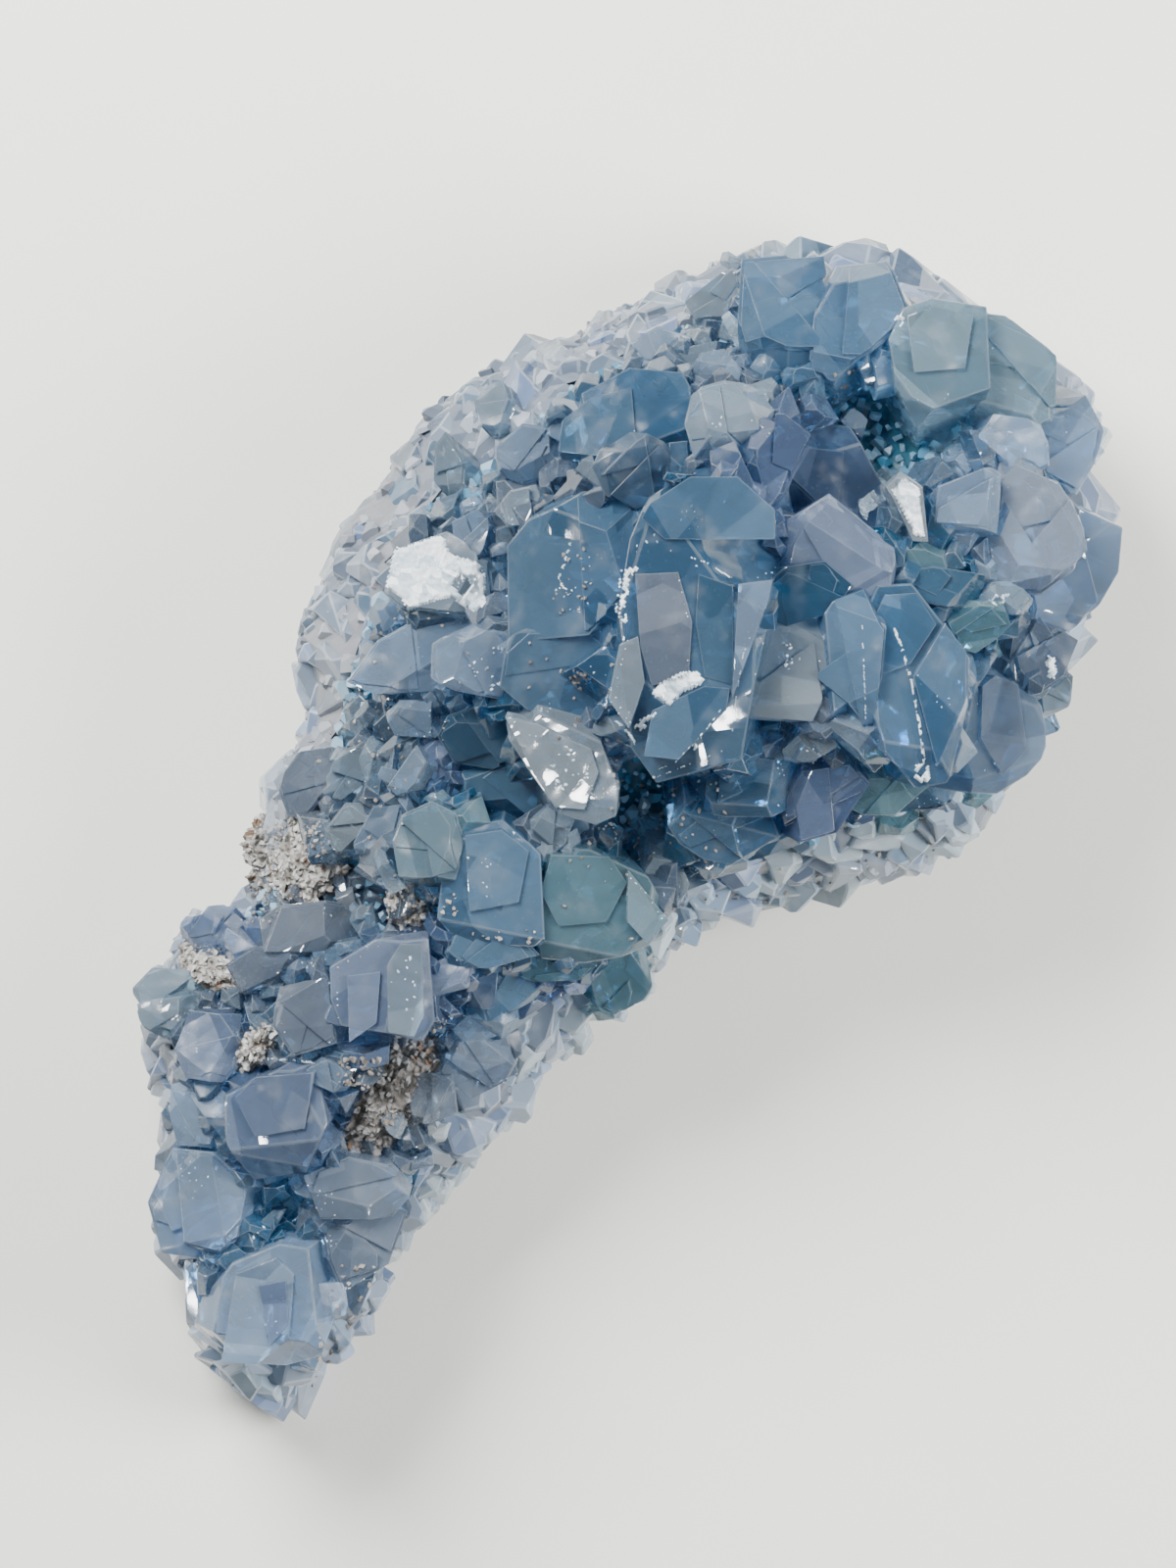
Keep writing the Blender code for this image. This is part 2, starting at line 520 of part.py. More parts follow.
def closed_mesh(name, bm):
    """A finished mesh in metres, with its faces pointing out."""
    bmesh.ops.recalc_face_normals(bm, faces=bm.faces[:])
    bmesh.ops.scale(bm, vec=(METRES,) * 3, verts=bm.verts[:])
    mesh = bpy.data.meshes.new(name)
    bm.to_mesh(mesh)
    bm.free()
    return mesh


def loft(name, rings):
    """A closed skin through rings of points, with a flat fan over each end."""
    bm = bmesh.new()
    rows = [[bm.verts.new(point) for point in ring] for ring in rings]
    for row, following in zip(rows, rows[1:]):
        for i in range(len(row)):
            j = (i + 1) % len(row)
            bm.faces.new((row[i], row[j], following[j]))
            bm.faces.new((row[i], following[j], following[i]))
    for row in (rows[0], rows[-1]):
        middle = bm.verts.new(sum((vert.co for vert in row), Vector()) / len(row))
        for i in range(len(row)):
            bm.faces.new((row[i], row[(i + 1) % len(row)], middle))
    return closed_mesh(name, bm)


def block_from_planes(name, planes, middle):
    """The convex block that lies behind all of its planes."""
    bm = bmesh.new()
    bmesh.ops.create_cube(bm, size=BLOCK_REACH, matrix=Matrix.Translation(middle))
    for normal, point in planes:
        geometry = bm.verts[:] + bm.edges[:] + bm.faces[:]
        cut = bmesh.ops.bisect_plane(bm, geom=geometry, dist=EPSILON, plane_co=point,
                                     plane_no=normal, clear_outer=True)
        rim = [item for item in cut["geom_cut"] if isinstance(item, bmesh.types.BMEdge)]
        if rim:
            bmesh.ops.edgeloop_fill(bm, edges=rim)
    return closed_mesh(name, bm)


def evaluated(model):
    """A plain mesh of an object with its modifiers worked out."""
    bpy.context.view_layer.update()
    graph = bpy.context.evaluated_depsgraph_get()
    return bpy.data.meshes.new_from_object(model.evaluated_get(graph))


def combined(first, others, operation):
    """One mesh joined with, or cut by, a list of others."""
    model = bpy.data.objects.new("work", first)
    bpy.context.scene.collection.objects.link(model)
    tools = bpy.data.collections.new("tools")
    bpy.context.scene.collection.children.link(tools)
    for mesh in others:
        tools.objects.link(bpy.data.objects.new("tool", mesh))
    boolean = model.modifiers.new("combine", "BOOLEAN")
    boolean.operation = operation
    boolean.operand_type = "COLLECTION"
    boolean.collection = tools
    boolean.solver = "EXACT"
    result = evaluated(model)
    for item in list(tools.objects) + [model]:
        bpy.data.objects.remove(item)
    bpy.data.collections.remove(tools)
    return largest_part(result)


def largest_part(mesh):
    """The mesh without crumbs that a cut has left loose."""
    bm = bmesh.new()
    bm.from_mesh(mesh)
    waiting = set(bm.faces)
    parts = []
    while waiting:
        queue = [waiting.pop()]
        part = set(queue)
        while queue:
            for edge in queue.pop().edges:
                for face in edge.link_faces:
                    if face in waiting:
                        waiting.discard(face)
                        part.add(face)
                        queue.append(face)
        parts.append(part)
    keep = max(parts, key=len)
    bmesh.ops.delete(bm, geom=[face for face in bm.faces if face not in keep], context="FACES")
    bm.to_mesh(mesh)
    bm.free()
    return mesh


# Crystals

def facing(direction, slope):
    """The outward direction of an end face that looks a way in the photograph, at a slope."""
    tilt = math.radians(slope)
    return (heading(direction) * math.sin(tilt) + Vector((0, 0, math.cos(tilt)))).normalized()


def crystal_planes(ground, outline, rise, face, caps=(), grow=0.0):
    """The faces of one crystal, grown outwards by a gap when it is cut out of its neighbour."""
    corners = [plan(px, py) for px, py in outline]
    x = sum(corner[0] for corner in corners) / len(corners)
    y = sum(corner[1] for corner in corners) / len(corners)
    bed = ground.bed(x, y)
    middle = Vector((x, y, bed + rise))
    axis = ground.upright(x, y)
    planes = []
    for (x0, y0), (x1, y1) in zip(corners, corners[1:] + corners[:1]):
        edge = Vector((x1 - x0, y1 - y0, 0.0))
        side = edge.cross(axis).normalized()
        point = Vector((x0, y0, middle.z))
        if side.dot(middle - point) > 0.0:
            side.negate()
        planes.append((side, point))
    main = facing(*face)
    planes.append((main, middle))
    for direction, slope, start in caps:
        reach = heading(direction) * start * MM_PER_PIXEL
        reach.z = -(reach.x * main.x + reach.y * main.y) / main.z
        planes.append((facing(direction, slope), middle + reach))
    lowest = min(ground.bed(*corner) for corner in corners) - ROOT_DEPTH
    root = max(lowest, bed - DEEPEST_ROOT)
    planes.append((Vector((0, 0, -1)), Vector((x, y, root))))
    return [(normal, point + normal * grow) for normal, point in planes], middle


def crystal(name, ground, spec, grow=0.0):
    planes, middle = crystal_planes(ground, grow=grow, **spec)
    return block_from_planes(name, planes, middle)


def inside(point, outline):
    """Whether a pixel lies within an outline."""
    x, y = point
    within = False
    for (x0, y0), (x1, y1) in zip(outline, outline[1:] + outline[:1]):
        if (y0 > y) != (y1 > y) and x < x0 + (x1 - x0) * (y - y0) / (y1 - y0):
            within = not within
    return within


def filler_specs():
    """Middling crystals that fill the ground between those placed one by one."""
    draw = random.Random(11)
    placed = []
    specs = []
    columns = [px for px, py in CRYSTAL_FIELD]
    rows = [py for px, py in CRYSTAL_FIELD]
    for attempt in range(ATTEMPTS):
        if len(specs) == FILLER_COUNT:
            break
        px = draw.uniform(min(columns), max(columns))
        py = draw.uniform(min(rows), max(rows))
        if not inside((px, py), CRYSTAL_FIELD):
            continue
        if any(inside((px, py), spec["outline"]) for spec in CRYSTALS.values()):
            continue
        if any(math.hypot(px - qx, py - qy) < FILLER_SPACING for qx, qy in placed):
            continue
        placed.append((px, py))
        turn = draw.uniform(0, 180)
        length = draw.uniform(*FILLER_LENGTH)
        width = length * draw.uniform(*FILLER_WIDTH_SHARE)
        outline = []
        for along, across in FILLER_SHAPE:
            c, s = math.cos(math.radians(turn)), math.sin(math.radians(turn))
            outline.append((px + along * length * c - across * width * s,
                            py + along * length * s + across * width * c))
        face = (draw.uniform(0, 360), draw.uniform(6, 24))
        caps = [(face[0] + 180, draw.uniform(24, 40), length * 0.4)]
        specs.append(dict(outline=outline, rise=draw.uniform(*FILLER_RISE), face=face, caps=caps))
    return specs


def lining(ground, grow=0.0):
    """The bed that the crystals share, a thick skin that follows the shell's upper side."""
    low_x = min(x for x, y in ground.field)
    high_x = max(x for x, y in ground.field)
    rings = []
    for i in range(LINING_STATIONS):
        share = (i + 0.5) / LINING_STATIONS
        x = low_x + (high_x - low_x) * share
        low_y, high_y = crossings(ground.field, x)
        under = profile_at(x, ground.low_x, ground.high_x)[0]
        upper, lower = [], []
        for j in range(LINING_STEPS + 1):
            part = j / LINING_STEPS
            y = low_y + (high_y - low_y) * part
            bed = ground.bed(x, y)
            thick = min(LINING_THICKNESS, LINING_SHARE * (bed - max(under, 0.0)))
            thick *= swell(share) * swell(part)
            aside = grow * ((j == LINING_STEPS) - (j == 0)) * 1.5
            upper.append(Vector((x, y + aside, bed + LINING_RAISE + grow * 1.5)))
            lower.append(Vector((x, y + aside, bed - thick - grow * 1.5)))
        rings.append(upper + lower[::-1])
    rings[0] = [point - Vector((grow, 0, 0)) for point in rings[0]]
    rings[-1] = [point + Vector((grow, 0, 0)) for point in rings[-1]]
    return loft("lining", rings)


def swell(part):
    """How much of its full thickness the lining has at a share of the way across it."""
    return 0.55 + 0.45 * math.sin(math.pi * part) ** 0.6


# Rind

def shell(ground):
    """The rind's body: rounded underneath, with a flat spot where it rests."""
    draw = random.Random(5)
    rings = []
    for i in range(STATION_COUNT):
        share = (1.0 - math.cos(math.pi * (i + 0.5) / STATION_COUNT)) / 2.0
        x = ground.low_x + (ground.high_x - ground.low_x) * share
        ring = []
        for j in range(RING_POINTS):
            turn = 2.0 * math.pi * (j + 0.5) / RING_POINTS
            point = ground.around(x, turn)
            swelling = SHELL_SWELL * noise.noise(point / SHELL_SWELL_SIZE)
            point += ground.normal(x, turn) * (swelling + draw.uniform(-SHELL_LUMP, SHELL_LUMP))
            point.z = max(point.z, 0.0)
            ring.append(point)
        rings.append(ring)
    return loft("shell", rings)


def grain(draw, place, normal, size):
    """A small block of the rind, set on its skin."""
    turn = draw.uniform(0, math.pi)
    aside = normal.orthogonal().normalized()
    aside.rotate(Matrix.Rotation(turn, 3, normal))
    across = normal.cross(aside)
    up = (normal + aside * draw.uniform(-0.5, 0.5) + across * draw.uniform(-0.5, 0.5)).normalized()
    along = (aside - up * aside.dot(up)).normalized()
    across = up.cross(along)
    length, width = size * draw.uniform(0.8, 1.2), size * draw.uniform(0.5, 0.8)
    height = size * draw.uniform(0.6, 0.95)
    planes = [(along, place + along * length), (-along, place - along * length),
              (across, place + across * width), (-across, place - across * width),
              (-up, place - up * size * 0.7)]
    roof = math.radians(draw.uniform(25, 40))
    for side in (along, -along):
        planes.append(((up * math.cos(roof) + side * math.sin(roof)), place + up * height))
    return block_from_planes("grain", planes, place)


def rind_grains(ground):
    """Blocks over the rind's flanks, finer at the tail and coarser on the head's left flank."""
    draw = random.Random(23)
    placed = []
    grains = []
    for attempt in range(ATTEMPTS):
        if len(grains) == GRAIN_COUNT:
            break
        x = draw.uniform(ground.low_x + 1.0, ground.high_x - 1.0)
        turn = draw.uniform(-0.75, math.pi + 0.75)
        place = ground.around(x, turn)
        if inside((place.x, place.y), ground.field) and place.z > profile_at(
                x, ground.low_x, ground.high_x)[2]:
            continue
        if place.z < GRAIN_LOWEST:
            continue
        if any((place - other).length < GRAIN_SPACING for other in placed):
            continue
        placed.append(place)
        on_left = math.cos(turn) > 0.2
        size = draw.uniform(*(COARSE_GRAIN if on_left else FINE_GRAIN))
        grains.append(grain(draw, place, ground.normal(x, turn), size))
    return grains


# Host rock

def marl(name, ground, middle, half, turn, bulge, grow=0.0):
    """A crumbly patch: a flattened lump, rough all over, sunk in the ground."""
    draw = random.Random(name)
    x0, y0 = plan(*middle)
    long_way = heading(turn)
    wide_way = heading(turn + 90)
    bm = bmesh.new()
    bmesh.ops.create_icosphere(bm, subdivisions=2, radius=1.0)
    for vert in bm.verts:
        vert.co *= 1.0 + draw.uniform(-MARL_ROUGHNESS, MARL_ROUGHNESS) * 0.4
    for vert in bm.verts:
        spot = (long_way * vert.co.x * (half[0] * MM_PER_PIXEL + grow)
                + wide_way * vert.co.y * (half[1] * MM_PER_PIXEL + grow))
        x, y = x0 + spot.x, y0 + spot.y
        lift = (MARL_THICKNESS + grow) * vert.co.z
        vert.co = Vector((x, y, ground.bed(x, y) + bulge - MARL_THICKNESS + lift))
    return closed_mesh(name, bm)


# Assembly

def material(name, look):
    paint = bpy.data.materials.new(name)
    paint.use_nodes = True
    shader = paint.node_tree.nodes["Principled BSDF"]
    shader.inputs["Base Color"].default_value = look[0]
    shader.inputs["Roughness"].default_value = look[1]
    shader.inputs["Metallic"].default_value = 0.0
    return paint


def add(name, mesh, look):
    """A finished node with its own material."""
    mesh.name = name
    mesh.materials.clear()
    mesh.materials.append(material(name, look))
    model = bpy.data.objects.new(name, mesh)
    bpy.context.scene.collection.objects.link(model)
    return model


def main():
    for model in list(bpy.data.objects):
        bpy.data.objects.remove(model, do_unlink=True)
    ground = Ground()
    specs = list(CRYSTALS.values()) + filler_specs()
    pits = [marl(name, ground, grow=FITTING_GAP, **patch) for name, patch in MARL_PATCHES.items()]

    crust = combined(lining(ground), [crystal("crystal", ground, spec) for spec in specs], "UNION")
    crust = combined(crust, pits, "DIFFERENCE")
    body = combined(shell(ground), rind_grains(ground), "UNION")
    room = [crystal("room", ground, spec, FITTING_GAP) for spec in specs]
    body = combined(body, [lining(ground, FITTING_GAP)] + room + pits, "DIFFERENCE")

    add("rind", body, RIND_LOOK)
    add("crystals", crust, CRYSTAL_LOOK)
    for name, patch in MARL_PATCHES.items():
        add(name, marl(name, ground, **patch), MARL_LOOK)


main()
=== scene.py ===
"""Celestite cluster: a pale sugary rind, the blue crystals grown on it, crumbs of host rock and dust.

Plan places are pixels of the photograph's 1200 by 1600 frame, which looks straight down on the
specimen. Sizes and heights are in millimetres until a mesh is finished in metres.
"""
import json
import math
import random

import bmesh
import bpy
import numpy
from mathutils import Matrix, Vector, noise
from mathutils.bvhtree import BVHTree

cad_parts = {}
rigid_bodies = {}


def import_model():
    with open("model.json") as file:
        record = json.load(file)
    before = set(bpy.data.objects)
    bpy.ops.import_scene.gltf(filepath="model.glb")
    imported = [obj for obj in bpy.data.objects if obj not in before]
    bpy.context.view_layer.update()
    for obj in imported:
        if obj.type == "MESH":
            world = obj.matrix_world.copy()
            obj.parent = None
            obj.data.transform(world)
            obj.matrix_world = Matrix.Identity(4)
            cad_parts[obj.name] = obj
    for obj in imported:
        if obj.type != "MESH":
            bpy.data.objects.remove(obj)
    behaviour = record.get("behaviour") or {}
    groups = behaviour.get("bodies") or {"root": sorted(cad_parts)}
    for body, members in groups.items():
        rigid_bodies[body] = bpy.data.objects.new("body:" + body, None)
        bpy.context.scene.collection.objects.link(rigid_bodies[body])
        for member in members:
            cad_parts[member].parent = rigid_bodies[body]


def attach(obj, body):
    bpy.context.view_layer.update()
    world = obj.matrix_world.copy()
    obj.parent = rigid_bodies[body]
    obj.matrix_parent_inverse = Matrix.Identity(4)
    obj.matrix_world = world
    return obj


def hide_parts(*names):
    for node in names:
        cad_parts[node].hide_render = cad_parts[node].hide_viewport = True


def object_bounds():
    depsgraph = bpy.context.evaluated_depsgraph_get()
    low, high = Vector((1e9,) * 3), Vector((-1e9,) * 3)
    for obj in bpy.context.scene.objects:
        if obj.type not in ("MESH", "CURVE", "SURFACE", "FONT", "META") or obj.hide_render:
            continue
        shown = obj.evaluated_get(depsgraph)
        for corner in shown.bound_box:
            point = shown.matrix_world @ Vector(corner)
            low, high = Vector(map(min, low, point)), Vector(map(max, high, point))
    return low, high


bl_info = {
    "name": "Celestite cluster",
    "version": (1, 0, 0),
    "blender": (4, 5, 0),
    "location": "3D View > Sidebar > Celestite",
    "description": "Builds a celestite cluster around its measured solids",
    "category": "Add Mesh",
}

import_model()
SOLID_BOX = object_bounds()


def pixels(text):
    """Places in the photograph, from words that say how far across and how far down each is."""
    return [tuple(int(part) for part in word.split(",")) for word in text.split()]


# How the photograph lies on the plan
SPECIMEN_LENGTH = 108.0
PHOTO_LENGTH = 1354.0
PHOTO_MIDDLE = (569.71, 830.81)
PHOTO_SIZE = (1200, 1600)
LONG_AXIS_DEGREES = 53.6
MM_PER_PIXEL = SPECIMEN_LENGTH / PHOTO_LENGTH
METRES = 0.001

# The flanks: sizes, spacing and tints of their crystals
FLANKS = {
    "upper": ((2.4, 3.6), 2.0, ("grey", "smoke", "slate", "haze", "smoke", "slate", "lilac", "grey")),
    "left": ((1.8, 2.9), 1.6, ("haze", "mauve", "grey", "mauve", "haze", "grey", "smoke")),
    "right": ((1.7, 2.9), 1.5, ("clear", "haze", "pale", "clear", "mauve", "frost", "haze")),
}

# Outline of the whole specimen in the photograph, clockwise from the top
OUTLINE = pixels("""
    735,254 800,256 870,262 908,270 918,310 985,325 1030,330 1060,350 1080,375 1082,412 1120,415
    1130,450 1100,500 1104,528 1145,548 1143,590 1105,650 1098,690 1095,720 1065,740 1063,790 1035,820
    1020,860 985,870 905,893 820,915 740,945 700,970 667,1010 640,1038 605,1036 575,1080 545,1110
    515,1158 460,1225 415,1280 385,1350 340,1410 320,1435 285,1452 250,1445 230,1412 200,1395 192,1350
    185,1310 160,1275 145,1235 150,1160 146,1090 130,1035 127,1000 165,972 190,935 208,922 235,930
    255,895 262,840 262,800 278,762 300,720 308,680 300,640 312,590 340,540 400,452 440,410 470,380
    520,348 580,330 620,305 680,275""")

# Outline of the ground that the blue crystals grow from, inside the granular rind
CRYSTAL_FIELD = pixels("""
    760,300 900,300 1040,350 1065,420 1085,500 1095,590 1070,690 1040,780 985,815 880,838 800,868
    700,900 660,945 600,1000 520,1040 455,1085 440,1160 415,1230 350,1320 300,1390 230,1385 205,1330
    190,1260 175,1180 180,1080 160,1020 215,960 300,890 340,790 350,700 390,610 430,520 520,460 600,390
    680,340""")

# Heights along the specimen: place from tail tip to head end as a share of the length, then the
# underside's middle, the widest line on the left and right sides, and the top of the shell
PROFILE = [
    (0.00, 5.0, 6.0, 6.0, 8.5),
    (0.10, 3.6, 6.5, 7.0, 13.0),
    (0.22, 2.8, 6.5, 7.5, 16.0),
    (0.36, 2.0, 6.0, 8.0, 17.5),
    (0.48, 0.4, 5.5, 8.5, 19.5),
    (0.60, -2.6, 5.0, 9.0, 23.0),
    (0.74, -3.4, 5.5, 9.5, 25.5),
    (0.86, -1.0, 7.5, 11.0, 24.0),
    (0.95, 3.5, 10.0, 12.0, 19.5),
    (1.00, 7.5, 11.5, 12.5, 15.0),
]

# Pockets where the ground between the crystals drops: middle in the photograph, reach, depth
POCKETS = [
    ((893, 452), 70, 6.2),
    ((668, 832), 55, 5.2),
    ((288, 1245), 42, 0.8),
    ((500, 790), 50, 2.5),
    ((778, 748), 26, 3.0),
]

# Shape of the dome and its skin, millimetres where it is a size
RIM_INSET = 1.3
DOME_POWER = 1.9
DOME_EDGE = 0.995
SPREAD = 0.75
SKIN_STATIONS = 150
SKIN_RING = 120
SKIN_SWELL = 2.2
SKIN_SWELL_SIZE = 9.0
SKIN_GRIT = 0.5
SKIN_GRIT_SIZE = 1.7
SKIN_DROP = 2.6
RIND_LEVEL = 0.35

LINING_THICKNESS = 8.0
LINING_SHARE = 0.48
LINING_RAISE = 0.6
LINING_STATIONS = 70
LINING_STEPS = 36
LINING_GRIT = 0.7
ROOT_DEPTH = 0.8
DEEPEST_ROOT = 3.2
BLOCK_REACH = 80.0
EPSILON = 1e-6
ATTEMPTS = 9000

FILLER_COUNT = 8
FILLER_SPACING = 44.0
FILLER_LENGTH = (17.0, 30.0)
FILLER_WIDTH_SHARE = (0.5, 0.8)
FILLER_RISE = (2.5, 4.5)
FILLER_SHAPE = ((1, 0.4), (0.4, 1), (-0.5, 1), (-1, 0.3), (-0.6, -1), (0.6, -1))

# Tints of the crystals as the photograph shows them
TINTS = {
    "deep": (0.02, 0.15, 0.28),
    "navy": (0.05, 0.20, 0.37),
    "dusk": (0.06, 0.13, 0.29),
    "blue": (0.10, 0.26, 0.43),
    "sky": (0.17, 0.35, 0.55),
    "green": (0.17, 0.38, 0.44),
    "mint": (0.32, 0.52, 0.62),
    "lilac": (0.19, 0.28, 0.50),
    "mauve": (0.34, 0.45, 0.68),
    "slate": (0.17, 0.27, 0.38),
    "pale": (0.38, 0.54, 0.74),
    "clear": (0.47, 0.60, 0.70),
    "frost": (0.64, 0.76, 0.82),
    "haze": (0.43, 0.52, 0.65),
    "grey": (0.29, 0.35, 0.45),
    "smoke": (0.18, 0.24, 0.33),
}
# The darker tint given to what stands in the gaps beside a crystal: painted shade, so that the gaps read as
# dark crevices
GAP_PAINTED_SHADE_TINTS = {
    "navy": "deep", "dusk": "navy", "blue": "navy", "sky": "blue", "green": "deep", "mint": "green",
    "lilac": "dusk", "mauve": "dusk", "slate": "navy", "pale": "slate", "clear": "smoke", "haze": "smoke",
    "frost": "slate", "grey": "slate", "smoke": "slate", "deep": "deep",
}
# Lighter teal that the lining takes deep in the pockets: its own teal, raised as painted light against the
# pockets' shade
POCKET_PAINTED_LIGHT_TINT = (0.06, 0.42, 0.60)
# Pale tint: the light end of the crystals' cell tones, and the paler edges, which are partly wear and partly
# painted highlight
PALE_TONE_AND_EDGE_HIGHLIGHT_TINT = (0.74, 0.83, 0.88)
WHITE_TINT = (0.86, 0.91, 0.93)
MARL_THICKNESS = 2.2
BED_STATIONS = 130
BED_STEPS = 70
BED_RAISE = 0.5
# Lights: the way they stand in the photograph and their height in degrees, size and distance in metres
WINDOW = ((126, 43), 0.24, 0.45)
SECOND_WINDOW = ((0, 33), 0.24, 0.45)
CARD = ((140, 28), 0.25, 0.5)
GLINTS = ((95, 40), (203, 55), (298, 40))
GLINT_SIZE = 0.06
GLINT_AWAY = 0.6
SKY_COLOR = (0.96, 0.98, 0.97, 1.0)
FLOOR_HALF = 1.5
FLOOR_DROP = 0.00002
SENSOR = 24.0
AIM_HEIGHT = 18.0
SKY_HEIGHT = 80.0
COMPANIONS_PER_MM = 0.7
LARGEST_COMPANION = 1.5
# Share of the gap crystals that take the darker tint of painted shade
PAINTED_SHADE_SHARE = 0.75
LARGE_AREA = 4500.0
LEAST_WITH_COMPANIONS = 2.2
POCKET_KEPT = 1.6
GAP_REACH = 2.3
GAP_TURNS = (0.0, 0.785, 1.571, 2.356, 3.142, 3.927, 4.712, 5.498)
LEAST_AROUND = 5
GAP_ROUNDS = ((1.3, 2.3, (1.5, 2.6)), (1.0, 1.6, (0.9, 1.6)))
OVERLAP = 1.08
BOX_MARGIN = 0.03
FLANK_ATTEMPTS = 7000
FLANK_FOOT = 1.5
PATCH_PITCH = 0.16
PATCH_DEPTH = 0.35
PATCH_STEP = 1.3
PATCH_THICKNESS = 0.2
PATCH_GRAIN = 0.4
SOLID_SHARE = 0.7
LINE_THICKNESS = 0.07
PLATE_ROOT = 1.2

